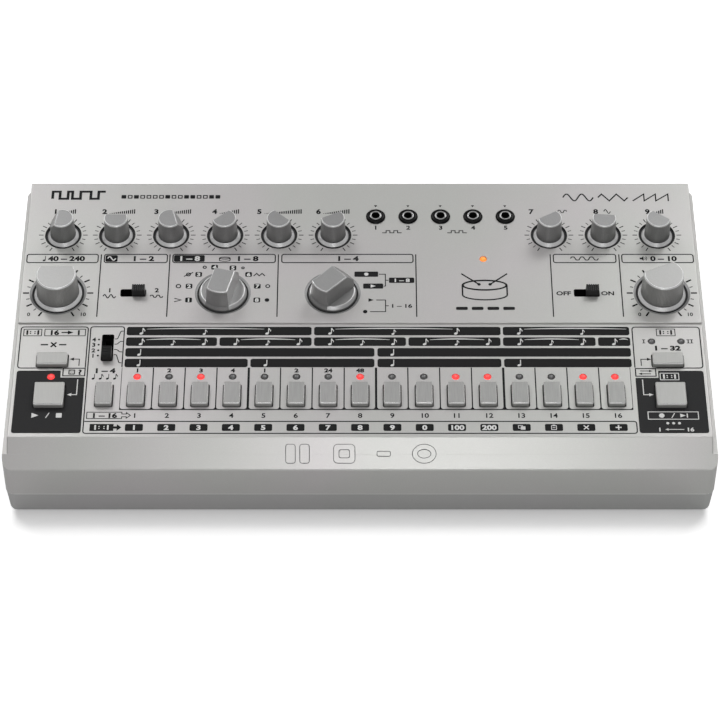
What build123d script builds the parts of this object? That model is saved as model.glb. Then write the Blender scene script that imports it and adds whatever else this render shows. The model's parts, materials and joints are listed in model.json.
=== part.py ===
from build123d import *
import math
import os

# Drum machine with a sloping panel. Millimetres, +Z up, front towards -Y, +X to the right.
# Pieces on the panel are built in a panel frame (u across, v from the front edge to the back,
# w out of the upper panel) and placed with PF.

# ---------------------------------------------------------------- casing
WIDTH = 305.0  # over the side ledges
LEDGE_W = 2.0
BLOCK_W = WIDTH - 2 * LEDGE_W  # raised panel block between the ledges
PANEL_L = 147.6  # front edge to back edge, along the slope
TILT = 2.2  # panel slope, degrees
BEVEL_RUN = 11.28
BEVEL_DROP = 8.78
Z_PANEL_FRONT = 39.1  # top of the bevel
STEP = 0.8  # the rear field of the panel stands this much higher
V_CREASE = 63.3
LEDGE = 5.1  # side ledge below the upper panel
Z_PART = 14.3  # parting line of the two shells
FOOT_H = 1.4  # feet stand out of the bottom shell
CORNER_R = 4.0
BLOCK_R = 1.4
SKIN = 2.4  # top shell wall
TRAY_WALL = 2.2
TRAY_FLOOR = 2.2
TRAY_TAPER = 4.4
TRAY_EDGE_R = 2.2
SHELL_GAP = 0.1
LIP_H = 1.3
LIP_T = 1.2
EDGE_R = 0.7

SOCKET_PROUD = 6.26  # the longest rear socket stands this far out of the back

sin_t, cos_t = math.sin(math.radians(TILT)), math.cos(math.radians(TILT))
DEPTH = BEVEL_RUN - STEP * sin_t + PANEL_L * cos_t + SOCKET_PROUD  # 165 mm over all
Y_FRONT = -DEPTH / 2
PF_Y = Y_FRONT + BEVEL_RUN - STEP * sin_t
PF_Z = Z_PANEL_FRONT + STEP * cos_t
PF = Location((0, PF_Y, PF_Z), (TILT, 0, 0))
Y_BACK = PF_Y + PANEL_L * cos_t
Z_BEVEL = Z_PANEL_FRONT - BEVEL_DROP
UNDER_HI = -SKIN  # underside of the rear field, in w
UNDER_LO = -STEP - SKIN  # underside of the front field, in w

# ---------------------------------------------------------------- layout on the panel
COL0, COL_PITCH = -133.9, 24.35
ROW_KNOB, ROW_MAIN, ROW_JACK = 115.3, 80.6, 126.5
KNOB_COLS = [0, 1, 2, 3, 4, 5, 9, 10, 11]
KNOB_NAMES = ["accent_knob", "bass_drum_knob", "snare_drum_knob", "tom_knob", "cymbal_knob",
              "hihat_knob", "distortion_knob", "tone_knob", "level_knob"]
KNOB_TURN = [-82, 0, 75, -40, 42, -25, -30, 5, 35]  # clockwise from straight back
TEMPO_U, VOLUME_U = -133.9, 133.9
VOLUME_TURN, TEMPO_TURN = -25, 0
INSTRUMENT_U, MODE_U = COL0 + 3 * COL_PITCH, COL0 + 5 * COL_PITCH
INSTRUMENT_TURN, MODE_TURN = 15, 45
JACK_U0, JACK_PITCH, JACK_N = 7.1, 14.7, 5
SLIDE_U = 100.6
SCALE_U, SCALE_V = -110.35, 49.5
STEP_U0, STEP_PITCH, STEP_N = -96.55, 13.8, 16
STEP_V, STEP_BW, STEP_BL = 22.5, 7.2, 11.9
LED_V = 33.2
GROUP_LED_U, GROUP_LED_V = (127.6, 140.5), 53.2
POWER_LED = (55.2, 100.9)
SIDE_U = 133.9
SQUARE_V, SQUARE_W, SQUARE_L = 22.1, 12.9, 12.3
OBLONG_V, OBLONG_W, OBLONG_L = 42.0, 13.3, 6.6

# ---------------------------------------------------------------- knobs
SMALL = dict(recess=8.25, skirt=6.95, base=5.6, top=5.1, height=11.5, flat=2.2, drop=4.4, lean=4.9, chamfer=0.0)
LARGE = dict(recess=11.6, skirt=10.55, base=9.25, top=8.6, height=12.7, flat=4.7, drop=6.5, lean=8.9, chamfer=0.95)
SELECT = dict(recess=11.4, skirt=10.55, base=9.8, top=9.3, height=11.2, chamfer=0.95)
RECESS = 1.3
SKIRT_LOW, SKIRT_RIM, SKIRT_TOP = -0.95, -0.45, 1.0
BAR_W = 9.8
MOON_W = 1.9  # top of the half-moon flanges beside the bar
BAR_FLAT = 4.2
SHAFT_R, SHAFT_FREE, SHAFT_FIT = 3.0, 0.16, 0.06
BUSH_WALL, SELECT_BUSH_WALL, BUSH_FREE = 0.44, 1.44, 0.35
BUSH_R, SELECT_BUSH = SHAFT_R + SHAFT_FREE + BUSH_WALL, SHAFT_R + SHAFT_FREE + SELECT_BUSH_WALL

# ---------------------------------------------------------------- boards
BOARD_W = -14.0  # component side of the main board, in w
BOARD_T = 1.6
BOARD_HALF, BOARD_V0, BOARD_V1 = SIDE_U + 6.1, 11.0, ROW_KNOB + 7.1
TAB_U0, TAB_U1, TAB_V1 = JACK_U0 - 8.6, JACK_U0 + (JACK_N - 1) * JACK_PITCH + 8.6, ROW_JACK + 4.3
STANDOFFS = [(-80.0, 50.0), (0.0, 50.0), (80.0, 50.0), (-97.3, 99.0), (-24.3, 99.0), (97.4, 99.0)]
STANDOFF_R = 3.2
SCREW_R, SCREW_HEAD_R, SCREW_HEAD_H, SCREW_L = 1.22, 2.8, 1.8, 8.0
PILOT_FREE, SCREW_FREE, HEAD_FREE = 0.08, 0.53, 0.25
PILOT_R = SCREW_R + PILOT_FREE
BOSS_IN = 8.4  # from the side to the line of case screws
BOSS_X, BOSS_V = WIDTH / 2 - BOSS_IN, (5.5, 70.0, PANEL_L - 7.2)
BOSS_R = 3.6
TRAY_BOSS_R = 4.2

# ---------------------------------------------------------------- buttons, switches, lamps
HOLE_FREE = 0.3  # around each button
TRAVEL_STOP = 0.3
BUTTON_H = 2.7
BUTTON_LOW_H = 2.4
FLANGE = 0.8
FLANGE_T = 1.1
STEM_R, STEM_FREE = 1.75, 0.25
TACT_W, TACT_H, TACT_BORE, STEM_IN = 6.2, 3.8, 3.0, 1.2
TACT_TOP = BOARD_W + TACT_H
STEM_END = TACT_TOP - STEM_IN
LED_R, LED_HOLE, LED_FLANGE_R, LED_PROUD = 1.5, 1.7, 1.9, 0.6
SLOT_L, SLOT_W = 11.1, 4.2
LEVER_L, LEVER_W, LEVER_H = 5.7, 3.6, 4.0
SCALE_L, SCALE_SLOT_W = 15.0, 5.0
SCALE_PITCH = 3.05

TOP_LIP, TOP_LIP_R, TOP_BORE_LOW, TOP_BUSH_WALL = 1.15, 1.85, 0.05, 0.8
TOP_BUSH_R = TOP_LIP_R + TOP_BUSH_WALL
CHAMBER = 0.2  # a socket's bore widens by this behind its mouth

# ---------------------------------------------------------------- rear
WINDOW_IN, WINDOW_H = 13.5, 21.0
WINDOW_HALF = WIDTH / 2 - WINDOW_IN
REAR_Z = (Z_PART + PF_Z + PANEL_L * sin_t) / 2 - 1.93
PLATE_T, PLATE_LAP = 1.5, 1.5
PLATE_Y = Y_BACK - SKIN  # outer face of the plate
REAR_BOARD_Z = REAR_Z + BOARD_W + 4.4  # it follows the main board down
VOICE_X0, VOICE_PITCH, VOICE_N = 103.0, -15.0, 8
MIX_X, MIDI_X, USB_X, DC_X, POWER_X = 126.5, (-30.0, -56.0), -80.0, -99.0, -121.5

parts = {}


def P(shape):
    return PF * shape


def cyl(u, v, w0, w1, r):
    return Pos(u, v, (w0 + w1) / 2) * Cylinder(r, w1 - w0)


def block(u0, u1, v0, v1, w0, w1):
    return Pos((u0 + u1) / 2, (v0 + v1) / 2, (w0 + w1) / 2) * Box(u1 - u0, v1 - v0, w1 - w0)


def ycyl(x, z, y0, y1, r):
    return Pos(x, (y0 + y1) / 2, z) * (Rot(90, 0, 0) * Cylinder(r, y1 - y0))


def xw(v, w):
    """World y and z of a point of the panel frame."""
    return PF_Y + v * cos_t - w * sin_t, PF_Z + v * sin_t + w * cos_t


def rounded(points, radii):
    """Closed face through the points, with each corner rounded by its radius."""
    n, edges, ends = len(points), [], []
    for i in range(n):
        a, b, c, r = Vector(*points[i - 1]), Vector(*points[i]), Vector(*points[(i + 1) % n]), radii[i]
        if not r:
            ends.append((b, b))
            continue
        p, q = (a - b).normalized(), (c - b).normalized()
        half = math.acos(max(-1.0, min(1.0, p.dot(q)))) / 2
        reach = r / math.tan(half)
        t0, t1 = b + p * reach, b + q * reach
        m = (p + q).normalized()
        mid = b + m * (r / math.sin(half) - r)
        edges.append(Edge.make_three_point_arc(t0, mid, t1))
        ends.append((t0, t1))
    for i in range(n):
        s, e = ends[i][1], ends[(i + 1) % n][0]
        if (e - s).length > 1e-6:
            edges.append(Edge.make_line(s, e))
    return Face(Wire.combine(edges, tol=1e-5)[0])


def slab_x(face, half):
    """A y, z outline extruded both ways along X."""
    return extrude(Plane.YZ * face, half, both=True)


def plan(width, y0, y1, r, z):
    return Pos(0, (y0 + y1) / 2, z) * RectangleRounded(width, y1 - y0, r)


def turned(points):
    """Revolve an r, w outline about the w axis."""
    return revolve(Plane.XZ * Face(Wire.make_polygon([Vector(*p) for p in points], close=True)), Axis.Z, 360)


def save(name, items):
    solids = []
    for item in items:
        solids += item.solids()
    parts[name] = solids
    export_step(Compound(children=solids), "parts/%s.step" % name)
    print(name, len(solids), round(sum(s.volume for s in solids), 1), all(s.is_valid for s in solids))


os.makedirs("parts", exist_ok=True)

# ================================================================ top shell
notch = (LEDGE - STEP) / (BEVEL_DROP * cos_t - BEVEL_RUN * sin_t)
notch_y, notch_z = Y_FRONT + BEVEL_RUN * (1 - notch), Z_PANEL_FRONT - BEVEL_DROP * notch
back_ledge = xw(PANEL_L - LEDGE * math.tan(math.radians(TILT)), -LEDGE)
base_points = [(Y_FRONT, Z_PART), (Y_FRONT, Z_BEVEL), (notch_y, notch_z), (Y_BACK, back_ledge[1]), (Y_BACK, Z_PART)]
base = slab_x(rounded(base_points, [0, 1.2, 0.3, 0.5, 0]), WIDTH / 2)
base &= extrude(plan(WIDTH, Y_FRONT, Y_BACK, CORNER_R, 0), 80)

overlap = 2.0
front_field = slab_x(
    rounded([(notch_y + 0.02, notch_z - overlap), (notch_y, notch_z - 0.02), xw(0, -STEP), xw(V_CREASE + 2, -STEP),
             xw(V_CREASE + 2, -LEDGE - overlap)], [0, 0, EDGE_R, 0, 0]), BLOCK_W / 2)
rear_field = slab_x(
    rounded([xw(V_CREASE, -LEDGE - overlap), xw(V_CREASE, 0), xw(PANEL_L, 0), (Y_BACK, xw(PANEL_L, -LEDGE - overlap)[1])],
            [0, 0.3, EDGE_R, 0]), BLOCK_W / 2)


def side_edges(shape, w_min):
    """Edges at the block's two ends that lie above w_min."""
    picked = []
    for e in shape.edges():
        c = e.center()
        if abs(abs(c.X) - BLOCK_W / 2) > 1e-3 or e.length < 1.0:
            continue
        w = -(c.Y - PF_Y) * sin_t + (c.Z - PF_Z) * cos_t
        if w > w_min and abs(e.tangent_at(0.5).Z) < 0.2:
            picked.append(e)
    return picked


front_field = fillet(side_edges(front_field, -STEP - 0.3), 0.5)
rear_field = fillet(side_edges(rear_field, -0.3), 0.5)
top_shell = base + front_field + rear_field
top_shell &= extrude(plan(WIDTH, Y_FRONT, Y_BACK, CORNER_R, 0), 80)

# inside, open at the bottom
low = Z_PART - 5
bev = math.hypot(BEVEL_RUN, BEVEL_DROP)
slope = BEVEL_DROP / BEVEL_RUN
in_y = Y_FRONT + SKIN
in_z = Z_BEVEL + SKIN * slope - SKIN * bev / BEVEL_RUN  # where the bevel's inside meets the front wall's


def meet(w):
    """World y, z on the plane w, on the inside of the bevel."""
    y0, z0 = xw(0, w)
    # z = z0 + (y - y0) tan(t) and z = in_z + (y - in_y) slope
    k = sin_t / cos_t
    y = (z0 - y0 * k - in_z + in_y * slope) / (slope - k)
    return y, z0 + (y - y0) * k


in_back = Y_BACK - SKIN
hall = slab_x(
    rounded([(in_y, low), (in_y, in_z), meet(UNDER_LO), xw(V_CREASE + SKIN, UNDER_LO), xw(V_CREASE + SKIN, UNDER_HI),
             (in_back, xw(PANEL_L - SKIN, UNDER_HI)[1]), (in_back, low)], [0, 1.5, 1.0, 0, 0, 1.0, 0]),
    BLOCK_W / 2 - SKIN)
wide_w = -LEDGE - SKIN
aisle = slab_x(
    rounded([(in_y, low), (in_y, in_z), meet(wide_w), (in_back, xw(PANEL_L - SKIN, wide_w)[1]), (in_back, low)],
            [0, 1.5, 0, 0, 0]), WIDTH / 2 - SKIN)
aisle &= Pos(0, 0, low) * extrude(plan(WIDTH - 2 * SKIN, in_y, in_back, CORNER_R - SKIN + 0.6, 0), 80)
top_shell -= hall
top_shell -= aisle

# bosses for the case screws and standoffs for the main board
boss_at = [(sx * BOSS_X, xw(v, 0)[0], v) for sx in (-1, 1) for v in BOSS_V]
BOSS_Z = Z_PART + 1.6
bosses = []
for x, y, v in boss_at:
    top_w = (UNDER_LO if v < V_CREASE else UNDER_HI) + 0.8
    z1 = xw(v, top_w)[1]
    if v < 12:
        z1 = xw(v, UNDER_LO)[1] + 0.6
    bosses.append(Pos(x, y, (BOSS_Z + z1) / 2) * Cylinder(BOSS_R, z1 - BOSS_Z))
stand = [P(cyl(u, v, BOARD_W, (UNDER_LO if v < V_CREASE else UNDER_HI) + 0.8, STANDOFF_R)) for u, v in STANDOFFS]
top_shell = top_shell + bosses + stand
pilots = [Pos(x, y, BOSS_Z + 4.5) * Cylinder(PILOT_R, 9.4) for x, y, v in boss_at]
pilots += [P(cyl(u, v, BOARD_W - 0.1, BOARD_W + 8.5, PILOT_R)) for u, v in STANDOFFS]

# holes through the panel
cuts = []
knob_at = [(COL0 + k * COL_PITCH, ROW_KNOB) for k in KNOB_COLS]


def knob_hole(u, v, kind, bush):
    cuts.append(P(cyl(u, v, -RECESS, 2, kind["recess"])))
    cuts.append(P(cyl(u, v, -6, 2, bush)))
    if kind["chamfer"]:
        c = kind["chamfer"]
        cuts.append(P(Pos(u, v, 0) * turned([(0, -c * 0.45), (kind["recess"], -c * 0.45), (kind["recess"] + c, 0.001),
                                             (kind["recess"] + c, 0.5), (0, 0.5)])))


for u, v in knob_at:
    knob_hole(u, v, SMALL, BUSH_R + BUSH_FREE)
for u in (TEMPO_U, VOLUME_U):
    knob_hole(u, ROW_MAIN, LARGE, BUSH_R + BUSH_FREE)
for u in (INSTRUMENT_U, MODE_U):
    knob_hole(u, ROW_MAIN, SELECT, SELECT_BUSH + BUSH_FREE)
jack_at = [(JACK_U0 + k * JACK_PITCH, ROW_JACK) for k in range(JACK_N)]
cuts += [P(cyl(u, v, -6, 2, TOP_BUSH_R + 0.25)) for u, v in jack_at]
cuts += [P(block(s * SLIDE_U - SLOT_L / 2, s * SLIDE_U + SLOT_L / 2, ROW_MAIN - SLOT_W / 2, ROW_MAIN + SLOT_W / 2, -6, 2))
         for s in (-1, 1)]
cuts.append(P(block(SCALE_U - SCALE_SLOT_W / 2, SCALE_U + SCALE_SLOT_W / 2, SCALE_V - SCALE_L / 2, SCALE_V + SCALE_L / 2, -6, 2)))

# name, u, v, width, length, height
button_at = [("step_button_%02d" % (k + 1), STEP_U0 + k * STEP_PITCH, STEP_V, STEP_BW, STEP_BL, BUTTON_H) for k in range(STEP_N)]
button_at += [("function_button", STEP_U0 - STEP_PITCH, STEP_V, STEP_BW, STEP_BL, BUTTON_H),
              ("start_stop_button", -SIDE_U, SQUARE_V, SQUARE_W, SQUARE_L, BUTTON_H),
              ("write_button", SIDE_U, SQUARE_V, SQUARE_W, SQUARE_L, BUTTON_H),
              ("clear_button", -SIDE_U, OBLONG_V, OBLONG_W, OBLONG_L, BUTTON_LOW_H),
              ("group_button", SIDE_U, OBLONG_V, OBLONG_W, OBLONG_L, BUTTON_LOW_H)]
for name, u, v, bw, bl, bh in button_at:
    cuts.append(P(Pos(u, v, -3) * extrude(RectangleRounded(bw + 2 * HOLE_FREE, bl + 2 * HOLE_FREE, 0.8), 5, both=True)))
led_at = [(STEP_U0 + k * STEP_PITCH, LED_V, -STEP) for k in range(STEP_N)]
led_at += [(-SIDE_U, LED_V, -STEP)] + [(u, GROUP_LED_V, -STEP) for u in GROUP_LED_U]
cuts += [P(cyl(u, v, -6, 2, LED_HOLE)) for u, v, w in led_at + [(*POWER_LED, 0)]]

# rear window
cuts.append(Pos(0, Y_BACK, REAR_Z) * (Rot(90, 0, 0) * extrude(RectangleRounded(2 * WINDOW_HALF, WINDOW_H, 1.5), 8, both=True)))
top_shell = top_shell - (pilots + cuts)
save("top_shell", [top_shell])

# ================================================================ bottom shell
tray_top = Z_PART - SHELL_GAP
tray_depth = tray_top - FOOT_H
tray = extrude(plan(WIDTH - 0.3, Y_FRONT + 0.15, Y_BACK - 0.15, CORNER_R, tray_top), amount=-tray_depth, taper=TRAY_TAPER)
tray = fillet(tray.faces().sort_by(Axis.Z)[0].edges(), TRAY_EDGE_R)
hollow = extrude(plan(WIDTH - 0.3 - 2 * TRAY_WALL, Y_FRONT + 0.15 + TRAY_WALL, Y_BACK - 0.15 - TRAY_WALL, CORNER_R - TRAY_WALL + 0.4, tray_top),
                 amount=-(tray_depth - TRAY_FLOOR), taper=TRAY_TAPER)
tray -= hollow
lip_out = WIDTH - 2 * SKIN - 0.4
lip = extrude(plan(lip_out, in_y + 0.2, in_back - 0.2, CORNER_R - SKIN + 0.4, tray_top - 2.0), 2.0 + LIP_H)
lip -= extrude(plan(lip_out - 2 * LIP_T, in_y + 0.2 + LIP_T, in_back - 0.2 - LIP_T, 1.0, tray_top - 3.0), 3.0 + LIP_H + 1)
tray += lip
BOSS_TOP = BOSS_Z - 0.1
HEAD_Z = FOOT_H + 4.2  # seat of a case screw's head
tray += [Pos(x, y, (FOOT_H + 1 + BOSS_TOP) / 2) * Cylinder(TRAY_BOSS_R, BOSS_TOP - FOOT_H - 1) for x, y, v in boss_at]
FOOT_R, FOOT_IN, FOOT_X, FOOT_Y = 6.0, 0.9, WIDTH / 2 - 24.5, (Y_FRONT + 22.5, Y_BACK - 18.24)
foot_at = [(sx * FOOT_X, y) for sx in (-1, 1) for y in FOOT_Y]
SEAT = HEAD_Z + 5.6
tray_cuts = []
for x, y, v in boss_at:
    tray_cuts += [Pos(x, y, (FOOT_H - 1 + SEAT) / 2) * Cylinder(SCREW_HEAD_R + HEAD_FREE, SEAT - FOOT_H + 1),
                  Pos(x, y, SEAT) * Cylinder(SCREW_R + SCREW_FREE, 14)]
tray_cuts += [Pos(x, y, FOOT_H + FOOT_IN / 2 - 0.5) * Cylinder(FOOT_R + 0.2, FOOT_IN + 1) for x, y in foot_at]
tray = tray - tray_cuts
save("rubber_feet", [fillet((Pos(x, y, (FOOT_H + FOOT_IN) / 2) * Cylinder(FOOT_R, FOOT_H + FOOT_IN)).edges().group_by(Axis.Z)[0], 0.5)
                     for x, y in foot_at])

# ================================================================ boards
outline = block(-BOARD_HALF, BOARD_HALF, BOARD_V0, BOARD_V1, BOARD_W - BOARD_T, BOARD_W)
outline += block(TAB_U0, TAB_U1, BOARD_V1 - 1, TAB_V1, BOARD_W - BOARD_T, BOARD_W)
main_board = P(outline) - [P(cyl(u, v, BOARD_W - 3, BOARD_W + 1, SCREW_R + SCREW_FREE)) for u, v in STANDOFFS]
save("main_board", [main_board])

REAR_BOARD_Y0, REAR_BOARD_Y1 = PLATE_Y - PLATE_T - 27.0, PLATE_Y - PLATE_T - 0.6
REAR_BOARD_T = 1.6
REAR_BOARD_X = (-108.0, 137.0)
rear_posts = [(-40.0, REAR_BOARD_Y0 + 5.0), (112.0, REAR_BOARD_Y0 + 5.0), (-104.0, REAR_BOARD_Y0 + 5.0), (40.0, REAR_BOARD_Y0 + 5.0)]
rear_board = block(REAR_BOARD_X[0], REAR_BOARD_X[1], REAR_BOARD_Y0, REAR_BOARD_Y1, REAR_BOARD_Z - REAR_BOARD_T, REAR_BOARD_Z)
rear_board -= [Pos(x, y, REAR_BOARD_Z) * Cylinder(SCREW_R + SCREW_FREE, 8) for x, y in rear_posts]
save("rear_board", [rear_board])

# posts of the rear board stand on the tray
post_top = REAR_BOARD_Z - REAR_BOARD_T
posts = [Pos(x, y, (FOOT_H + 1 + post_top) / 2) * Cylinder(STANDOFF_R, post_top - FOOT_H - 1) for x, y in rear_posts]
tray = (tray + posts) - [Pos(x, y, post_top - 4) * Cylinder(PILOT_R, 9) for x, y in rear_posts]
save("bottom_shell", [tray])


def screw(length):
    s = Pos(0, 0, -SCREW_HEAD_H / 2) * Cylinder(SCREW_HEAD_R, SCREW_HEAD_H)
    s = fillet(s.edges().group_by(Axis.Z)[0], 0.5)
    s += Pos(0, 0, length / 2) * Cylinder(SCREW_R, length)
    for a in (0, 90):
        s -= Pos(0, 0, -SCREW_HEAD_H) * (Rot(0, 0, a) * Box(2.6, 0.6, 1.6))
    return s


screws = [Pos(x, y, SEAT) * screw(SCREW_L) for x, y, v in boss_at]
screws += [P(Pos(u, v, BOARD_W - BOARD_T) * screw(SCREW_L)) for u, v in STANDOFFS]
screws += [Pos(x, y, REAR_BOARD_Z) * (Rot(180, 0, 0) * screw(SCREW_L)) for x, y in rear_posts]
save("screws", screws)

# ================================================================ potentiometers and rotary switches
POT_H, ROTARY_H, POT_BASE = 6.8, 8.4, BOARD_W
POT_TOP = POT_BASE + POT_H
BUSH_TOP = -RECESS - 0.35
SHAFT_LOW = POT_TOP - 2.6


def control_body(u, v, half_u, half_v, bush, top=POT_TOP):
    s = block(u - half_u, u + half_u, v - half_v, v + half_v, POT_BASE, top) + cyl(u, v, top - 0.5, BUSH_TOP, bush)
    s -= cyl(u, v, SHAFT_LOW - 0.4, 2, SHAFT_R + SHAFT_FREE)
    return P(s)


pots = [control_body(u, v, 4.9, 5.5, BUSH_R) for u, v in knob_at]
pots += [control_body(u, ROW_MAIN, 6.0, 6.6, BUSH_R) for u in (TEMPO_U, VOLUME_U)]
save("potentiometers", pots)
save("rotary_switches", [control_body(u, ROW_MAIN, 11.5, 11.5, SELECT_BUSH, POT_BASE + ROTARY_H) for u in (INSTRUMENT_U, MODE_U)])


# ================================================================ knobs
def shaft(top):
    s = cyl(0, 0, SHAFT_LOW, top, SHAFT_R)
    return s - block(-5, 5, SHAFT_R - 1.5, 5, 0.6, top + 1)


def bore(top):
    s = cyl(0, 0, -5, top + 0.1, SHAFT_R + SHAFT_FIT)
    return s - block(-5, 5, SHAFT_R - 1.5 + SHAFT_FIT, 5, 0.7, top + 1)


def place(shapes, u, v, turn):
    return [P(Pos(u, v, 0) * (Rot(0, 0, -turn) * s)) for s in shapes]


def round_knob(k, ribs=0):
    top = k["height"]
    cap = turned([(0, SKIRT_LOW), (k["skirt"], SKIRT_LOW), (k["skirt"], SKIRT_RIM), (k["base"], SKIRT_TOP), (k["top"], top), (0, top)])
    # pointer facet, from a chord on the top down to the side
    facet = Pos(0, 0, 0) * extrude(Plane.YZ * Face(Wire.make_polygon(
        [Vector(k["flat"], top + 0.01), Vector(k["lean"] + 0.6, top - k["drop"] - 0.6 * k["drop"] / (k["lean"] - k["flat"])),
         Vector(20, top - k["drop"]), Vector(20, top + 0.01)], close=True)), 20, both=True)
    cap -= facet
    crown = [e for e in cap.edges() if e.center().Z > top - 0.01]
    cap = fillet(crown, 0.35)
    cap -= bore(top - 3.0)
    return cap


small_cap = round_knob(SMALL)
small_shaft = shaft(SMALL["height"] - 3.0)
large_cap = round_knob(LARGE)
large_shaft = shaft(LARGE["height"] - 3.0)
for name, (u, v), turn in zip(KNOB_NAMES, knob_at, KNOB_TURN):
    save(name, place([small_cap, small_shaft], u, v, turn))
save("tempo_knob", place([large_cap, large_shaft], TEMPO_U, ROW_MAIN, TEMPO_TURN))
save("volume_knob", place([large_cap, large_shaft], VOLUME_U, ROW_MAIN, VOLUME_TURN))

sk = SELECT
bar = turned([(0, SKIRT_LOW), (sk["skirt"], SKIRT_LOW), (sk["skirt"], SKIRT_RIM + 0.6), (sk["base"], MOON_W), (sk["top"], sk["height"]), (0, sk["height"])])
for s in (-1, 1):
    lean = 0.35
    bar -= extrude(Plane.XZ * Face(Wire.make_polygon(
        [Vector(s * (BAR_W / 2 + lean), MOON_W - 0.25), Vector(s * (BAR_W / 2 - lean), sk["height"] + 1), Vector(s * 20, sk["height"] + 1),
         Vector(s * 20, MOON_W - 0.25)], close=True)), 20, both=True)
bar -= extrude(Plane.YZ * Face(Wire.make_polygon(
    [Vector(BAR_FLAT, sk["height"] + 0.01), Vector(9.6, 4.6), Vector(20, 4.6), Vector(20, sk["height"] + 0.01)], close=True)), 20, both=True)
bar = fillet([e for e in bar.edges() if e.center().Z > sk["height"] - 0.01], 0.35)
bar -= bore(sk["height"] - 3.0)
select_shaft = shaft(sk["height"] - 3.0)
save("instrument_selector", place([bar, select_shaft], INSTRUMENT_U, ROW_MAIN, INSTRUMENT_TURN))
save("mode_selector", place([bar, select_shaft], MODE_U, ROW_MAIN, MODE_TURN))

# ================================================================ buttons and tact switches
for name, u, v, bw, bl, bh in button_at:
    top = -STEP + bh
    under = UNDER_LO - TRAVEL_STOP
    cap = Pos(0, 0, under - 0.2) * extrude(RectangleRounded(bw, bl, 0.6), top - under + 0.2)
    cap = fillet(cap.faces().sort_by(Axis.Z)[-1].edges(), 0.45)
    cap += Pos(0, 0, under - FLANGE_T) * extrude(RectangleRounded(bw + 2 * FLANGE, bl + 2 * FLANGE, 0.8), FLANGE_T)
    cap += cyl(0, 0, STEM_END, under - 0.5, STEM_R)
    save(name, [P(Pos(u, v, 0) * cap)])
save("tact_switches", [P(block(u - TACT_W / 2, u + TACT_W / 2, v - TACT_W / 2, v + TACT_W / 2, BOARD_W, TACT_TOP)
                         - cyl(u, v, TACT_TOP - TACT_BORE, 0, STEM_R + STEM_FREE)) for name, u, v, *_ in button_at])


# ================================================================ slide switches
def lever(length, width, w_panel, along_u):
    lo = w_panel + 0.3
    s = block(-length / 2, length / 2, -width / 2, width / 2, lo, LEVER_H + (w_panel + SKIN))
    top = LEVER_H + (w_panel + SKIN)
    s = fillet(s.faces().sort_by(Axis.Z)[-1].edges().filter_by(Axis.Y), 0.5)
    n = 5
    s -= [block(x - 0.22, x + 0.22, -width, width, top - 0.35, top + 1)
          for x in [(-(n - 1) / 2 + i) * (length - 1.2) / (n - 1) * 0.86 for i in range(n)]]
    s += block(-1.1, 1.1, -1.0, 1.0, lo - 6.5, lo + 0.5)
    return s if along_u else Rot(0, 0, 90) * s


SLIDE_TRAVEL = SLOT_L - LEVER_L - 0.5
SLIDE_REST = SLIDE_TRAVEL / 2
save("voice_slider", [P(Pos(-SLIDE_U + SLIDE_REST, ROW_MAIN, 0) * lever(LEVER_L, LEVER_W, UNDER_HI, True))])
save("distortion_slider", [P(Pos(SLIDE_U + SLIDE_REST, ROW_MAIN, 0) * lever(LEVER_L, LEVER_W, UNDER_HI, True))])
SCALE_TRAVEL = 3 * SCALE_PITCH
save("scale_slider", [P(Pos(SCALE_U, SCALE_V - SCALE_TRAVEL / 2, 0) * lever(5.4, 4.2, UNDER_LO, False))])


def slider_body(u, v, half_u, half_v, top, slot_u, slot_v):
    return P(block(u - half_u, u + half_u, v - half_v, v + half_v, BOARD_W, top)
             - block(u - slot_u, u + slot_u, v - slot_v, v + slot_v, top - 7.5, top + 1))


bodies = [slider_body(s * SLIDE_U, ROW_MAIN, 7.2, 3.6, UNDER_HI - 0.2, SLIDE_TRAVEL / 2 + 1.1 + 0.3, 1.3) for s in (-1, 1)]
bodies.append(slider_body(SCALE_U, SCALE_V, 4.0, 9.0, UNDER_LO - 0.2, 1.3, SCALE_TRAVEL / 2 + 1.1 + 0.3))
save("slide_switches", bodies)


# ================================================================ lamps
def led(u, v, w):
    seat, tip = w - SKIN - 0.5, w + LED_PROUD
    side = tip - LED_R
    outline = [Edge.make_line((0, 0, seat - 1.0), (LED_FLANGE_R, 0, seat - 1.0)),
               Edge.make_line((LED_FLANGE_R, 0, seat - 1.0), (LED_FLANGE_R, 0, seat)),
               Edge.make_line((LED_FLANGE_R, 0, seat), (LED_R, 0, seat)),
               Edge.make_line((LED_R, 0, seat), (LED_R, 0, side)),
               Edge.make_three_point_arc((LED_R, 0, side), (LED_R * math.sin(math.pi / 4), 0, side + LED_R * math.cos(math.pi / 4)), (0, 0, tip)),
               Edge.make_line((0, 0, tip), (0, 0, seat - 1.0))]
    s = revolve(Face(Wire(outline)), Axis.Z, 360)
    s += [block(d - 0.25, d + 0.25, -0.25, 0.25, BOARD_W, seat - 0.5) for d in (-0.635, 0.635)]
    return P(Pos(u, v, 0) * s)


save("lamps", [led(*p) for p in led_at + [(*POWER_LED, 0)]])
save("lamp_spacers", [P(cyl(u, v, BOARD_W, w - SKIN - 1.6, 2.1) - cyl(u, v, BOARD_W - 1, w, 1.3)) for u, v, w in led_at + [(*POWER_LED, 0)]])

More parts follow.
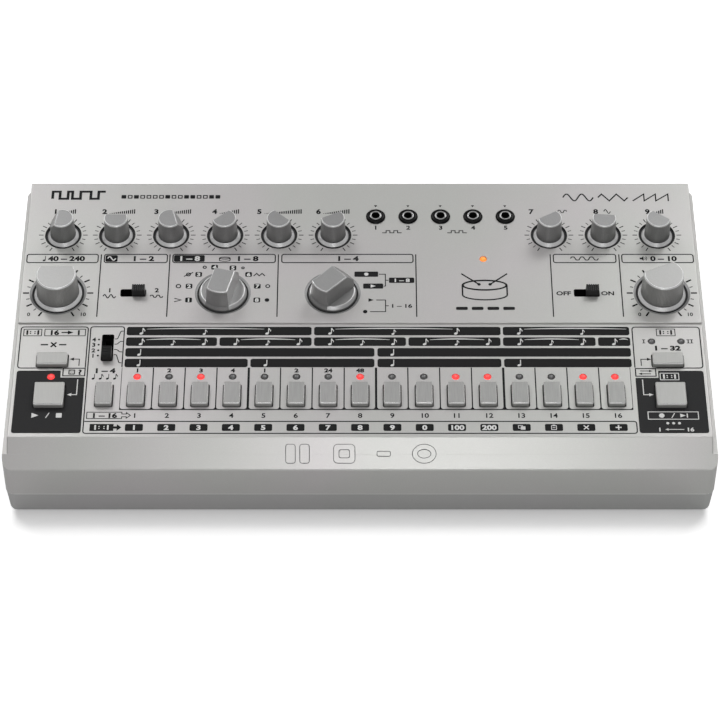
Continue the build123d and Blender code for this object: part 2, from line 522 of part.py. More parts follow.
# ================================================================ sockets on the panel
sockets, nuts = [], []
for u, v in jack_at:
    s = block(u - 4.4, u + 4.4, v - 4.6, v + 4.6, BOARD_W, UNDER_HI - 0.4) + cyl(u, v, UNDER_HI - 1, TOP_LIP, TOP_BUSH_R)
    s -= cyl(u, v, TOP_BORE_LOW, 3, TOP_LIP_R)
    s -= cyl(u, v, -12.0, TOP_BORE_LOW, TOP_LIP_R + CHAMBER)
    sockets.append(P(s))
    nut = turned([(TOP_BUSH_R + 0.08, 0.04), (4.38, 0.04), (4.38, 0.35), (3.95, 0.8), (3.3, 0.95), (TOP_BUSH_R + 0.08, 0.95)])
    nuts.append(P(Pos(u, v, 0) * nut))
save("panel_sockets", sockets)

# ================================================================ rear plate and sockets
lower, upper = REAR_Z - WINDOW_H / 2 - PLATE_LAP, REAR_Z + WINDOW_H / 2 + PLATE_LAP
plate = block(-WINDOW_HALF - PLATE_LAP, WINDOW_HALF + PLATE_LAP, PLATE_Y - PLATE_T, PLATE_Y - 0.05, lower, upper)
VOICE_R, MIX_R, DIN_BORE, DC_BORE = 1.85, 3.2, 6.75, 3.05
VOICE_BUSH_R, MIX_BUSH_R, DIN_R, DC_R = VOICE_R + 1.05, MIX_R + 1.4, DIN_BORE + 0.85, DC_BORE + 1.15
voice_at = [VOICE_X0 + k * VOICE_PITCH for k in range(VOICE_N)]
hole = [ycyl(x, REAR_Z, PLATE_Y - 5, PLATE_Y + 5, VOICE_BUSH_R + 0.2) for x in voice_at]
hole += [ycyl(MIX_X, REAR_Z, PLATE_Y - 5, PLATE_Y + 5, MIX_BUSH_R + 0.2)]
hole += [ycyl(x, REAR_Z, PLATE_Y - 5, PLATE_Y + 5, DIN_R + 0.2) for x in MIDI_X]
hole += [ycyl(DC_X, REAR_Z, PLATE_Y - 5, PLATE_Y + 5, DC_R + 0.2)]
USB_W, USB_H = 12.0, 10.8
hole += [block(USB_X - USB_W / 2 - 0.2, USB_X + USB_W / 2 + 0.2, PLATE_Y - 5, PLATE_Y + 5, REAR_Z - USB_H / 2 - 0.2, REAR_Z + USB_H / 2 + 0.2)]
SW_W, SW_H = 13.0, 17.0
hole += [block(POWER_X - SW_W / 2 - 0.2, POWER_X + SW_W / 2 + 0.2, PLATE_Y - 5, PLATE_Y + 5, REAR_Z - SW_H / 2 - 0.2, REAR_Z + SW_H / 2 + 0.2)]
save("rear_plate", [plate - hole])

inner = PLATE_Y - PLATE_T - 0.15
VOICE_TIP, VOICE_END = Y_BACK + 1.65, Y_BACK - 15.55  # clear of the panel's sockets in front
voices = []
for x in voice_at:
    s = block(x - 4.5, x + 4.5, VOICE_END, inner, REAR_BOARD_Z, REAR_Z + 5.5) + ycyl(x, REAR_Z, inner - 1, VOICE_TIP, VOICE_BUSH_R)
    s -= ycyl(x, REAR_Z, Y_BACK + 0.05, VOICE_TIP + 1, VOICE_R)
    s -= ycyl(x, REAR_Z, VOICE_END + 1.5, Y_BACK + 0.05, VOICE_R + CHAMBER)
    voices.append(s)


def hexnut(x, across, hole_r, thick):
    face = RegularPolygon(across / 2 / math.cos(math.pi / 6), 6) - Circle(hole_r)
    return Pos(x, PLATE_Y, REAR_Z) * (Rot(-90, 0, 0) * extrude(face, thick))


nuts += [hexnut(x, 8.0, VOICE_BUSH_R + 0.08, 2.0) for x in voice_at]
nuts.append(hexnut(MIX_X, 13.0, MIX_BUSH_R + 0.08, 2.3))
save("jack_nuts", nuts)
save("voice_sockets", voices)

MIX_TIP, MIX_DEEP = Y_BACK + SOCKET_PROUD, 20.0
s = block(MIX_X - 8.0, MIX_X + 8.0, inner - MIX_DEEP, inner, REAR_BOARD_Z, REAR_Z + 7.5) + ycyl(MIX_X, REAR_Z, inner - 1, MIX_TIP, MIX_BUSH_R)
s -= ycyl(MIX_X, REAR_Z, Y_BACK + 0.05, MIX_TIP + 1, MIX_R)
s -= ycyl(MIX_X, REAR_Z, inner - MIX_DEEP + 1.5, Y_BACK + 0.05, MIX_R + CHAMBER)
save("mix_socket", [s])

DIN_TIP = Y_BACK - 0.3
dins = []
for x in MIDI_X:
    s = block(x - 9.8, x + 9.8, inner - 14.0, inner, REAR_BOARD_Z, REAR_Z + 9.6) + ycyl(x, REAR_Z, inner - 1, DIN_TIP, DIN_R)
    face = DIN_TIP - 1.7
    s -= ycyl(x, REAR_Z, face, DIN_TIP + 1, DIN_BORE)
    s -= ycyl(x, REAR_Z, face - 8.0, face, DIN_BORE + 0.25) - ycyl(x, REAR_Z, face - 9.0, face - 0.5, 5.55)  # contacts sit below the mouth
    for a in (0, 45, 90, 135, 180):
        c, n = math.cos(math.radians(a)), math.sin(math.radians(a))
        s -= ycyl(x + 3.7 * c, REAR_Z - 3.7 * n, face - 7.0, face + 1, 0.8)
    s -= block(x - 1.2, x + 1.2, face - 6.0, face + 1, REAR_Z + 4.3, REAR_Z + 6.2)
    dins.append(s)
save("midi_sockets", dins)

s = block(USB_X - USB_W / 2, USB_X + USB_W / 2, inner - 15.0, Y_BACK - 0.6, REAR_Z - USB_H / 2, REAR_Z + USB_H / 2)
s += block(USB_X - USB_W / 2 + 0.6, USB_X + USB_W / 2 - 0.6, inner - 14.4, inner - 1, REAR_BOARD_Z, REAR_Z)
port = Pos(USB_X, Y_BACK, REAR_Z) * (Rot(90, 0, 0) * extrude(chamfer(Rectangle(8.5, 7.8).vertices().group_by(Axis.Y)[-1], 1.6), 10.0, both=True))
s -= port
s += block(USB_X - 2.8, USB_X + 2.8, Y_BACK - 10.5, Y_BACK - 1.9, REAR_Z - 1.6, REAR_Z + 1.6)
save("usb_socket", [s])

DC_TIP = Y_BACK - 0.3
s = block(DC_X - 4.6, DC_X + 4.6, inner - 13.0, inner, REAR_BOARD_Z, REAR_Z + 5.2) + ycyl(DC_X, REAR_Z, inner - 1, DC_TIP, DC_R)
s -= ycyl(DC_X, REAR_Z, DC_TIP - 2.0, DC_TIP + 1, DC_BORE)
s -= ycyl(DC_X, REAR_Z, inner - 11.0, DC_TIP - 2.0, DC_BORE + CHAMBER) - ycyl(DC_X, REAR_Z, inner - 12.0, DC_TIP - 4.5, 1.0)
save("dc_socket", [s])

# power switch: housing clipped in the plate, rocker on a pin across it
ROCKER_W, ROCKER_H, ROCKER_TURN = 8.0, 13.0, 9.0
bezel_y = PLATE_Y + 1.4
s = block(POWER_X - SW_W / 2, POWER_X + SW_W / 2, inner - 11.0, PLATE_Y, REAR_Z - SW_H / 2, REAR_Z + SW_H / 2)
s += block(POWER_X - SW_W / 2 - 1.2, POWER_X + SW_W / 2 + 1.2, PLATE_Y, bezel_y, REAR_Z - SW_H / 2 - 1.2, REAR_Z + SW_H / 2 + 1.2)
s -= block(POWER_X - ROCKER_W / 2 - 0.3, POWER_X + ROCKER_W / 2 + 0.3, bezel_y - 7.5, bezel_y + 1, REAR_Z - ROCKER_H / 2 - 0.5, REAR_Z + ROCKER_H / 2 + 0.5)
PIN_Y, PIN_R = bezel_y - 2.6, 1.0
s -= Pos(POWER_X, PIN_Y, REAR_Z) * (Rot(0, 90, 0) * Cylinder(PIN_R + 0.15, SW_W - 2.4))
save("power_switch_body", [s])
h, lift = ROCKER_H / 2, ROCKER_H / 2 * math.tan(math.radians(ROCKER_TURN / 2))
face = Face(Wire.make_polygon([Vector(PIN_Y - 1.6, -1.8), Vector(PIN_Y - 1.6, 1.8), Vector(PIN_Y + 1.0, h - 0.1), Vector(bezel_y + 0.9 + lift, h - 0.35),
                               Vector(bezel_y + 0.4, 0), Vector(bezel_y + 0.9 + lift, -h + 0.35), Vector(PIN_Y + 1.0, -h + 0.1)], close=True))
rocker = Pos(POWER_X, 0, REAR_Z) * slab_x(face, ROCKER_W / 2)
rocker += Pos(POWER_X, PIN_Y, REAR_Z) * (Rot(0, 90, 0) * Cylinder(PIN_R, SW_W - 2.8))
rocker = Pos(0, PIN_Y, REAR_Z) * (Rot(ROCKER_TURN, 0, 0) * (Pos(0, -PIN_Y, -REAR_Z) * rocker))
save("power_rocker", [rocker])

# ================================================================ parts on the boards
bits = []
LOWER = BOARD_W - BOARD_T
for u, v, wu, wv, t in [(-50, 30, 12, 12, 1.6), (-15, 30, 14, 9, 1.6), (40, 24, 10, 10, 1.6), (65, 72, 12, 8, 1.6), (90, 60, 8, 12, 1.6),
                        (-100, 66, 12, 8, 1.6), (15, 66, 16, 8, 1.6), (-40, 60, 8, 10, 1.6)]:
    bits.append(P(block(u - wu / 2, u + wu / 2, v - wv / 2, v + wv / 2, LOWER - t, LOWER)))
for x in (-60, -20, 20, 60, 90):
    bits.append(Pos(x, REAR_BOARD_Y0 + 6.0, REAR_BOARD_Z + 3.0) * Cylinder(2.5, 6.0))
# flat ribbon between a header under the main board and one on the rear board
RIB_X, RIB_W, HEADER_A, HEADER_B = -78.0, 16.0, 2.5, 3.0
ry1 = REAR_BOARD_Y0 + 6.0
hy, hz = xw(100.0, LOWER)
header_a = P(block(RIB_X - RIB_W / 2 - 1, RIB_X + RIB_W / 2 + 1, 98.0, 102.0, LOWER - HEADER_A, LOWER))
header_b = block(RIB_X - RIB_W / 2 - 1, RIB_X + RIB_W / 2 + 1, ry1 - 2, ry1 + 2, REAR_BOARD_Z, REAR_BOARD_Z + HEADER_B)
ya, za = xw(100.0, LOWER - HEADER_A)
zb = REAR_BOARD_Z + HEADER_B
t = 0.5
sag = za - 1.6
path = [(ya - t, za - 0.03), (ya - t, sag - t), (ry1 - t, sag - t), (ry1 - t, zb), (ry1 + t, zb), (ry1 + t, sag + t), (ya + t, sag + t), (ya + t, za - 0.03)]
ribbon = Pos(RIB_X, 0, 0) * slab_x(rounded(path, [0] * len(path)), RIB_W / 2)
bits += [header_a, header_b, ribbon]
save("board_components", bits)

# ---------------------------------------------------------------- figures used in the record
everything = Compound(children=[s for v in parts.values() for s in v])
bb = everything.bounding_box()
print("box", tuple(round(c, 3) for c in bb.min), tuple(round(c, 3) for c in bb.max))
print("nodes", len(parts))
print("panel frame", PF_Y, PF_Z, "back", Y_BACK, "slide", SLIDE_TRAVEL, "scale", SCALE_TRAVEL, "rocker pin", PIN_Y)
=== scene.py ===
import json
import math
from collections import namedtuple

import bmesh
import bpy
from mathutils import Matrix, Vector
from mathutils.geometry import tessellate_polygon


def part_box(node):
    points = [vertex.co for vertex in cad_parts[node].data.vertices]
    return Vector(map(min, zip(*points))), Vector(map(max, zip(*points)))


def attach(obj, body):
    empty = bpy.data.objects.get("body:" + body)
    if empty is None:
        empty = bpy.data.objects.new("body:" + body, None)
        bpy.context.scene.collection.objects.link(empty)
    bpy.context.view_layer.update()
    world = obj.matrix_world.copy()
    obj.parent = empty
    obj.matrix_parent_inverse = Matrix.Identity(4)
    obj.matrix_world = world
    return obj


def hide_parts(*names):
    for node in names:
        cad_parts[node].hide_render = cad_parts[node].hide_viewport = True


bl_info = {
    "name": "Drum machine with sixteen steps",
    "version": (1, 0, 0),
    "blender": (4, 5, 0),
    "location": "View3D > Sidebar > Drum machine",
    "description": "Paint, printing, lamps and small detail for a desktop drum machine",
    "category": "Object",
}

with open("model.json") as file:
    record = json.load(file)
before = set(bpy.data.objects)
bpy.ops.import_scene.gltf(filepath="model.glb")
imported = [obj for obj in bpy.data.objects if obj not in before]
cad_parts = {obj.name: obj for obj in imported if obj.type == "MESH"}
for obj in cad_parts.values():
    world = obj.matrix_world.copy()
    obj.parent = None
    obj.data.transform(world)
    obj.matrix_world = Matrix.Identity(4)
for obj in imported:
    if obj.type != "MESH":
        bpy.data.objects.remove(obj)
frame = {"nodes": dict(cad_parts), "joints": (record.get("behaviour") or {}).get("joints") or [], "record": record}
NODES = frame["nodes"]
JOINTS = {joint["child"]: joint for joint in frame["joints"]}
MOUNTS = {mount["name"]: Vector(mount["pos_m"]) for mount in frame["record"]["mounts"]}
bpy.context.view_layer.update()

# ---------------------------------------------------------------- the panel's own frame, in millimetres
MM = 0.001
ROW_MAIN = 80.6  # from the panel's front edge to the row of large knobs
NORMAL = Vector(JOINTS["tempo_knob"]["axis"])
TILT = math.atan2(-NORMAL.y, NORMAL.z)
PLACE = Vector(JOINTS["tempo_knob"]["pos_m"])
START = Vector((0, PLACE.y, PLACE.z)) - Vector((0, math.cos(TILT), math.sin(TILT))) * ROW_MAIN * MM
PANEL = Matrix.Translation(START) @ Matrix.Rotation(TILT, 4, "X") @ Matrix.Scale(MM, 4)
HIGH, LOW = 0.0, -0.8  # levels of the rear and front fields
KEY_TOP = 1.9  # level of the keys' tops
INK = 0.035  # thickness of the printing
LETTER_CAP = 0.729  # height of the built-in font's capitals at size one

# ---------------------------------------------------------------- places on the panel
STEP_U0, STEP_PITCH, STEPS = -96.55, 13.8, 16
STEP_V, LED_V = 22.5, 33.2
SIDE_U, SIDE_KEY_V, CLEAR_KEY_V = 133.9, 22.1, 42.0
SIDE_HOLE, CLEAR_HOLE, STEP_HOLE = (6.75, 6.45), (6.95, 3.6), (3.9, 6.25)  # half sizes
SWITCH_U, SWITCH_HOLE = 100.6, (5.55, 2.1)
SCALE_SPOT, SCALE_HOLE = (-110.35, 49.5), (2.5, 7.5)
LEDGE_V = 63.3  # where the front field ends and the rear one starts
SMALL_KNOBS = ["accent_knob", "bass_drum_knob", "snare_drum_knob", "tom_knob", "cymbal_knob", "hihat_knob",
               "distortion_knob", "tone_knob", "level_knob"]
LARGE_KNOBS = ["tempo_knob", "volume_knob"]
SELECTORS = ["instrument_selector", "mode_selector"]
# degrees that each pointer stands clockwise from straight back
KNOB_TURNS = dict(zip(SMALL_KNOBS + LARGE_KNOBS + SELECTORS,
                      (-82, 0, 75, -40, 42, -25, -30, 5, 35, 0, -25, 15, 45)))
STEP_BUTTONS = ["step_button_%02d" % (k + 1) for k in range(STEPS)]
SIDE_BUTTONS = ["start_stop_button", "write_button", "clear_button", "group_button"]
LIT_STEPS = (1, 3, 8, 11, 12, 15, 16)
JACK_U0, JACK_PITCH, JACKS, ROW_JACK = 7.1, 14.7, 5, 126.5
Z_FRONT, BEVEL_RUN, BEVEL_DROP = 39.1, 11.28, 8.78


def spot_of(point):
    """A point of the model in panel millimetres."""
    return PANEL.inverted() @ point


def knob_spot(name):
    return spot_of(Vector(JOINTS[name]["pos_m"]))


def knob_place(name):
    """From a knob's own millimetres, pointer along +y, to the model."""
    spot, turn = knob_spot(name), math.radians(KNOB_TURNS[name])
    return PANEL @ Matrix.Translation((spot.x, spot.y, HIGH)) @ Matrix.Rotation(-turn, 4, "Z")


def step_u(number):
    return STEP_U0 + STEP_PITCH * (number - 1)


# ---------------------------------------------------------------- settings
def tone(name, description, default):
    """A colour that a user may change."""
    return bpy.props.FloatVectorProperty(
        name=name, description=description, subtype="COLOR", size=3, min=0, max=1, default=default)


def length(name, description, default):
    """A length that a user may change, in metres."""
    return bpy.props.FloatProperty(name=name, description=description, default=default, min=0, unit="LENGTH")


def share(name, description, default):
    """A strength from nought to one that a user may change."""
    return bpy.props.FloatProperty(name=name, description=description, default=default, min=0, max=1)


def rib_count(name, description, default):
    """A count of ribs that a user may change."""
    return bpy.props.IntProperty(name=name, description=description, default=default, min=12)


class CasingSettings(bpy.types.PropertyGroup):
    paint: tone("Paint", "Colour of the silver paint", (0.53, 0.525, 0.52))
    tray: tone("Lower shell", "Colour of the lower shell's paint", (0.455, 0.455, 0.455))
    metal: share("Metal in the paint", "How metallic the paint looks", 0.35)
    gloss: share("Paint roughness", "Roughness of the paint", 0.33)


class KnobSettings(bpy.types.PropertyGroup):
    colour: tone("Knob colour", "Colour of the large knobs", (0.405, 0.405, 0.4))
    dial: tone("Dial colour", "Colour of the small knobs", (0.31, 0.31, 0.31))
    selector: tone("Selector colour", "Colour of the selectors", (0.335, 0.335, 0.335))
    button: tone("Button colour", "Colour of the side buttons", (0.42, 0.42, 0.41))
    step: tone("Step colour", "Colour of the step buttons", (0.35, 0.35, 0.345))
    # painted highlight: the lighter colour of the cut skirts and crowns
    bright: tone("Cut edges", "Colour of the bright cut skirts and crowns", (0.95, 0.95, 0.95))
    # painted highlight: the lighter colour of the keys' round edges
    edge_tone: tone("Button edges", "Colour of the buttons' rounded edges", (0.76, 0.76, 0.75))
    ribs: rib_count("Ribs", "Ribs round a large knob", 92)
    rib_width: length("Rib width", "Width of one rib of a large knob", 0.00034)
    small_ribs: rib_count("Small ribs", "Ribs round a small knob", 64)
    small_rib_width: length("Small rib width", "Width of one rib of a small knob", 0.00024)


class PrintSettings(bpy.types.PropertyGroup):
    ink: tone("Ink", "Colour of the dark printing", (0.011, 0.011, 0.0115))
    pale: tone("Pale ink", "Colour of the printing on dark fields", (0.72, 0.72, 0.71))
    line: length("Line", "Width of the printed lines", 0.00052)


class LampSettings(bpy.types.PropertyGroup):
    lit: tone("Lit lamp", "Colour of a lit step lamp", (1.0, 0.06, 0.058))
    dark: tone("Unlit lamp", "Colour of an unlit lamp", (0.13, 0.13, 0.13))
    power: tone("Power lamp", "Colour of the power lamp", (1.0, 0.3, 0.05))
    glow: bpy.props.FloatProperty(name="Glow", description="Strength of a lit lamp", default=0.85, min=0)


class StageSettings(bpy.types.PropertyGroup):
    floor: tone("Floor", "Colour of the floor", (0.8, 0.8, 0.8))
    camera_back: length("Camera back", "How far the camera stands in front", 0.8668)
    camera_up: length("Camera up", "How high the camera stands", 0.9716)
    camera_down: bpy.props.FloatProperty(
        name="Camera pitch", description="How far the camera looks down", subtype="ANGLE",
        default=math.radians(48))
    lens: bpy.props.FloatProperty(name="Lens", description="Focal length in millimetres", default=143.85)


# ---------------------------------------------------------------- node helpers
FLOAT, WHOLE, COLOUR, VECTOR = "NodeSocketFloat", "NodeSocketInt", "NodeSocketColor", "NodeSocketVector"
MATERIAL = "NodeSocketMaterial"


def add_node(tree, kind, inputs=None, **settings):
    """A node with its settings and inputs; an input is a value or the socket that feeds it."""
    made = tree.nodes.new(kind)
    for key, value in settings.items():
        setattr(made, key, value)
    for key, value in (inputs or {}).items():
        if isinstance(value, bpy.types.NodeSocket):
            tree.links.new(value, made.inputs[key])
        else:
            made.inputs[key].default_value = value
    return made


def placed_group(tree, group, **inputs):
    """A shared group placed in a material, with its inputs set; returns its outputs."""
    return add_node(tree, "ShaderNodeGroup", inputs, node_tree=group).outputs


def math_node(tree, operation, *values):
    return add_node(tree, "ShaderNodeMath", dict(enumerate(values)), operation=operation).outputs[0]


def vector_math(tree, operation, inputs, output=0):
    return add_node(tree, "ShaderNodeVectorMath", inputs, operation=operation).outputs[output]


def vector_node(tree, x=0.0, y=0.0, z=0.0):
    return add_node(tree, "ShaderNodeCombineXYZ", {0: x, 1: y, 2: z}).outputs[0]


def map_range(tree, value, low=0.0, high=1.0, to_low=0.0, to_high=1.0):
    """A value carried from one span to another and held at its ends."""
    spans = {"Value": value, "From Min": low, "From Max": high, "To Min": to_low, "To Max": to_high}
    return add_node(tree, "ShaderNodeMapRange", spans).outputs[0]


def mix_colours(tree, factor, first, second):
    """A colour between two, each a value or the socket that feeds it."""
    return add_node(tree, "ShaderNodeMix", {0: factor, 6: first, 7: second}, data_type="RGBA").outputs[2]


def shader_group(name, inputs, outputs):
    """An empty shader group with named inputs and outputs, and its input and output nodes' sockets."""
    tree = bpy.data.node_groups.new(name, "ShaderNodeTree")
    for label, kind, value in inputs:
        tree.interface.new_socket(label, in_out="INPUT", socket_type=kind).default_value = value
    for label, kind in outputs:
        tree.interface.new_socket(label, in_out="OUTPUT", socket_type=kind)
    return tree, tree.nodes.new("NodeGroupInput").outputs, tree.nodes.new("NodeGroupOutput").inputs


def shared(build):
    """A group that is built when it is first asked for, and found by its name after that."""
    return lambda: bpy.data.node_groups.get(build.__name__) or build()


def pattern(tree, kind, size, stretch=None, **inputs):
    """A texture's outputs on Object coordinates; size is in metres, and stretch scales each axis."""
    place = add_node(tree, "ShaderNodeTexCoord").outputs["Object"]
    if stretch is not None:
        place = add_node(tree, "ShaderNodeMapping", {"Vector": place, "Scale": stretch}).outputs[0]
    scale = math_node(tree, "DIVIDE", 1.0, size)
    return add_node(tree, kind, {"Vector": place, "Scale": scale, **inputs}).outputs


def about_one(tree, value, middle, amount):
    """One, and a little more or less of it where the value is above or below its middle."""
    swing = math_node(tree, "MULTIPLY", math_node(tree, "SUBTRACT", value, middle), amount)
    return math_node(tree, "ADD", swing, 1.0)


# ---------------------------------------------------------------- shared surface effects
@shared
def paint_grain():
    """Fine paint flakes: a height for bump and a shade round one. Size is in metres."""
    tree, given, out = shader_group("paint_grain", [("Size", FLOAT, 0.0004), ("Shade", FLOAT, 0.05)],
                                    [("Height", FLOAT), ("Factor", FLOAT)])
    fine = pattern(tree, "ShaderNodeTexNoise", given["Size"], Detail=2.0, Roughness=0.6)["Fac"]
    cell = pattern(tree, "ShaderNodeTexVoronoi", given["Size"])["Distance"]
    tree.links.new(fine, out["Height"])
    tree.links.new(about_one(tree, math_node(tree, "ADD", fine, cell), 0.95, given["Shade"]), out["Factor"])
    return tree


@shared
def paint_mottle():
    """Slow drifts of a paint between a warm and a cool cast. Size is in metres."""
    inputs = [("Colour", COLOUR, (0.5, 0.5, 0.5, 1)), ("Size", FLOAT, 0.07), ("Amount", FLOAT, 0.5),
              ("Factor", FLOAT, 1.0)]
    tree, given, out = shader_group("paint_mottle", inputs, [("Colour", COLOUR)])
    drift = pattern(tree, "ShaderNodeTexNoise", given["Size"], Detail=1.0, Distortion=0.6)["Fac"]
    ramp = add_node(tree, "ShaderNodeValToRGB", {"Fac": drift})
    casts = ((0.36, (1.05, 0.985, 1.005, 1)), (0.66, (0.94, 0.975, 0.905, 1)))
    for stop, (position, cast) in zip(ramp.color_ramp.elements, casts):
        stop.position, stop.color = position, cast
    cast = mix_colours(tree, given["Amount"], (1, 1, 1, 1), ramp.outputs["Color"])
    toned = vector_math(tree, "MULTIPLY", {0: given["Colour"], 1: cast})
    tree.links.new(vector_math(tree, "SCALE", {0: toned, "Scale": given["Factor"]}), out["Colour"])
    return tree


@shared
def fine_streaks():
    """Fine streaks of a turned side or a brushed top: a height and a factor round one."""
    tree, given, out = shader_group(
        "fine_streaks", [("Size", FLOAT, 0.0005), ("Shade", FLOAT, 0.1), ("Along", VECTOR, (1, 1, 0.06))],
        [("Height", FLOAT), ("Factor", FLOAT)])
    noise = pattern(tree, "ShaderNodeTexNoise", given["Size"], stretch=given["Along"], Detail=2.0)["Fac"]
    tree.links.new(noise, out["Height"])
    tree.links.new(about_one(tree, noise, 0.5, given["Shade"]), out["Factor"])
    return tree


@shared
def bright_cut():
    """A mask of painted highlights on edges: faces that lean between two tilts, and a crown below Rim, in metres.
    """
    tree, given, out = shader_group(
        "bright_cut", [("Steep", FLOAT, 0.6), ("Flat", FLOAT, 0.93), ("Rim", FLOAT, 1.0),
                       ("Rim width", FLOAT, 0.0006)], [("Mask", FLOAT)])
    place = add_node(tree, "ShaderNodeTexCoord").outputs
    lean = vector_math(tree, "DOT_PRODUCT", {0: place["Normal"], 1: NORMAL}, "Value")
    steep = map_range(tree, lean, math_node(tree, "SUBTRACT", given["Steep"], 0.05), given["Steep"])
    flat = map_range(tree, lean, given["Flat"], math_node(tree, "ADD", given["Flat"], 0.04), 1.0, 0.0)
    rise = vector_math(tree, "DOT_PRODUCT", {0: place["Object"], 1: NORMAL}, "Value")
    rise = math_node(tree, "SUBTRACT", rise, NORMAL.dot(START))
    crown = map_range(tree, rise, math_node(tree, "SUBTRACT", given["Rim"], given["Rim width"]), given["Rim"])
    band = math_node(tree, "MULTIPLY", math_node(tree, "MAXIMUM", steep, crown), flat)
    tree.links.new(band, out["Mask"])
    return tree


FINISHES = {}


def rgba(colour):
    return (*colour, 1.0)


def finish_of(name, colour, rough, metal=0.0, grain=0.0004, shade=0.05, bump=0.03, mottle=0.0, streak=0.0,
              along=(1, 1, 0.06), cut=None, glow=None, coat=0.0, shine=0.5, ease=0.0):
    """A painted, moulded or plated finish built from the shared groups. Made once for each name.

    cut is (steep, flat, rim, rim width, colour) of the painted highlight on the edges, lengths in millimetres;
    ease is how far the side draws in over the rim's width, in metres.
    """
    if name in FINISHES:
        return FINISHES[name]
    finish = FINISHES[name] = bpy.data.materials.new(name)
    finish.use_nodes = True
    finish.diffuse_color = rgba(colour)
    tree = finish.node_tree
    shader = tree.nodes["Principled BSDF"]
    flakes = placed_group(tree, paint_grain(), Size=grain, Shade=shade)
    factor, height = flakes["Factor"], flakes["Height"]
    if streak:
        lines = placed_group(tree, fine_streaks(), Shade=streak, Along=along)
        factor = math_node(tree, "MULTIPLY", factor, lines["Factor"])
        height = math_node(tree, "ADD", height, lines["Height"])
    base = placed_group(tree, paint_mottle(), Colour=rgba(colour), Amount=mottle, Factor=factor)["Colour"]
    rough_map = map_range(tree, flakes["Height"], 0.3, 0.7, rough * 0.88, min(1.0, rough * 1.12))
    shader.inputs["Metallic"].default_value = metal
    if cut:
        steep, flat, rim, rim_width, bright = cut
        sizes = {"Steep": steep, "Flat": flat, "Rim": rim * MM, "Rim width": rim_width * MM}
        mask = placed_group(tree, bright_cut(), **sizes)["Mask"]
        # painted highlight: the masked edges take the lighter colour, and are also more metallic and smoother
        base = mix_colours(tree, mask, base, rgba(bright))
        tree.links.new(map_range(tree, mask, to_low=metal, to_high=0.5), shader.inputs["Metallic"])
        smoother = math_node(tree, "SUBTRACT", 1.0, math_node(tree, "MULTIPLY", mask, 0.25))
        rough_map = math_node(tree, "MULTIPLY", rough_map, smoother)
    tree.links.new(base, shader.inputs["Base Color"])
    tree.links.new(rough_map, shader.inputs["Roughness"])
    raised = add_node(tree, "ShaderNodeBump", {"Height": height, "Strength": bump, "Distance": 0.0002})
    if ease:
        drawn_in = {"Height": mask, "Distance": ease, "Normal": raised.outputs["Normal"]}
        raised = add_node(tree, "ShaderNodeBump", drawn_in, invert=True)
    tree.links.new(raised.outputs["Normal"], shader.inputs["Normal"])
    shader.inputs["Coat Weight"].default_value = coat
    shader.inputs["Specular IOR Level"].default_value = shine
    if glow:
        shader.inputs["Emission Color"].default_value = rgba(colour)
        shader.inputs["Emission Strength"].default_value = glow
    return finish


# ---------------------------------------------------------------- finishes
def fine(grain, shade, bump, **more):
    """A finish's grain size in metres, its shade and its bump, and whatever else it takes."""
    return {"grain": grain, "shade": shade, "bump": bump, **more}


FLAKES = fine(0.00035, 0.08, 0.05)  # silver paint
SATIN = fine(0.0002, 0.06, 0.02)  # smooth plated or moulded parts
DRY = fine(0.0003, 0.3, 0.02)  # printing ink
LENS = fine(0.0006, 0.08, 0.02)  # a glowing lamp

# colour, roughness and the rest of each finish that takes nothing from the settings
PLAIN = {
    "seam_highlight_paint": ((0.68, 0.68, 0.67), 0.36, {"metal": 0.35, **FLAKES}),
    "chamfer_shade_satin": ((0.23, 0.23, 0.23), 0.45, {"metal": 0.3, **SATIN}),
    "crown_highlight_paint": ((0.84, 0.84, 0.84), 0.3, {"metal": 0.4, **SATIN}),
    "polished_rim_highlight": ((0.6, 0.6, 0.6), 0.34, {"metal": 0.7, **SATIN}),
    "mouth_metal": ((0.3, 0.3, 0.3), 0.3, fine(0.0002, 0.08, 0.02, metal=0.75)),
    "bright_nickel": ((0.78, 0.77, 0.75), 0.16, fine(0.0005, 0.04, 0.01, metal=1.0)),
    "zinc_steel": ((0.55, 0.55, 0.54), 0.34, fine(0.0006, 0.1, 0.03, metal=1.0)),
    "pressed_tin": ((0.42, 0.42, 0.4), 0.35, fine(0.0008, 0.1, 0.04, metal=0.9)),
    "socket_plate": ((0.16, 0.16, 0.165), 0.4, fine(0.0003, 0.1, 0.05, metal=0.4)),
    "black_plastic": ((0.009, 0.009, 0.0094), 0.36, fine(0.0003, 0.2, 0.08, shine=0.25)),
    "moulded_black": ((0.03, 0.03, 0.032), 0.5, fine(0.0004, 0.2, 0.06)),
    "collar_black": ((0.004, 0.004, 0.0042), 0.28, fine(0.0004, 0.25, 0.05, shine=0.1)),
    "shade_and_switch_black": ((0.004, 0.004, 0.004), 0.8, fine(0.0003, 0.2, 0.05, shine=0.05)),
    "painted_shade_grey": ((0.03, 0.03, 0.031), 0.6, fine(0.0005, 0.3, 0.06, shine=0.3)),
    "outline_shade_grey": ((0.16, 0.16, 0.16), 0.6, fine(0.0003, 0.1, 0.02, shine=0.2)),
    "foot_rubber": ((0.022, 0.022, 0.022), 0.75, fine(0.0004, 0.25, 0.15)),
    "board_mask": ((0.012, 0.09, 0.035), 0.4, fine(0.002, 0.3, 0.03, coat=0.3)),
    "nylon_white": ((0.7, 0.7, 0.67), 0.5, fine(0.0006, 0.06, 0.03)),
    "field_ink": ((0.021, 0.021, 0.022), 0.6, {"shine": 0.15, **DRY}),
}


def plain(name):
    """One of the finishes of the table above."""
    colour, rough, more = PLAIN[name]
    return finish_of(name, colour, rough, **more)


def silver():
    s = bpy.context.scene.drum_casing
    return finish_of("panel_silver", s.paint, s.gloss, metal=s.metal, mottle=0.4, **FLAKES)


def tray_silver():
    s = bpy.context.scene.drum_casing
    return finish_of("tray_paint", s.tray, s.gloss + 0.08, metal=s.metal, mottle=0.3, **FLAKES)


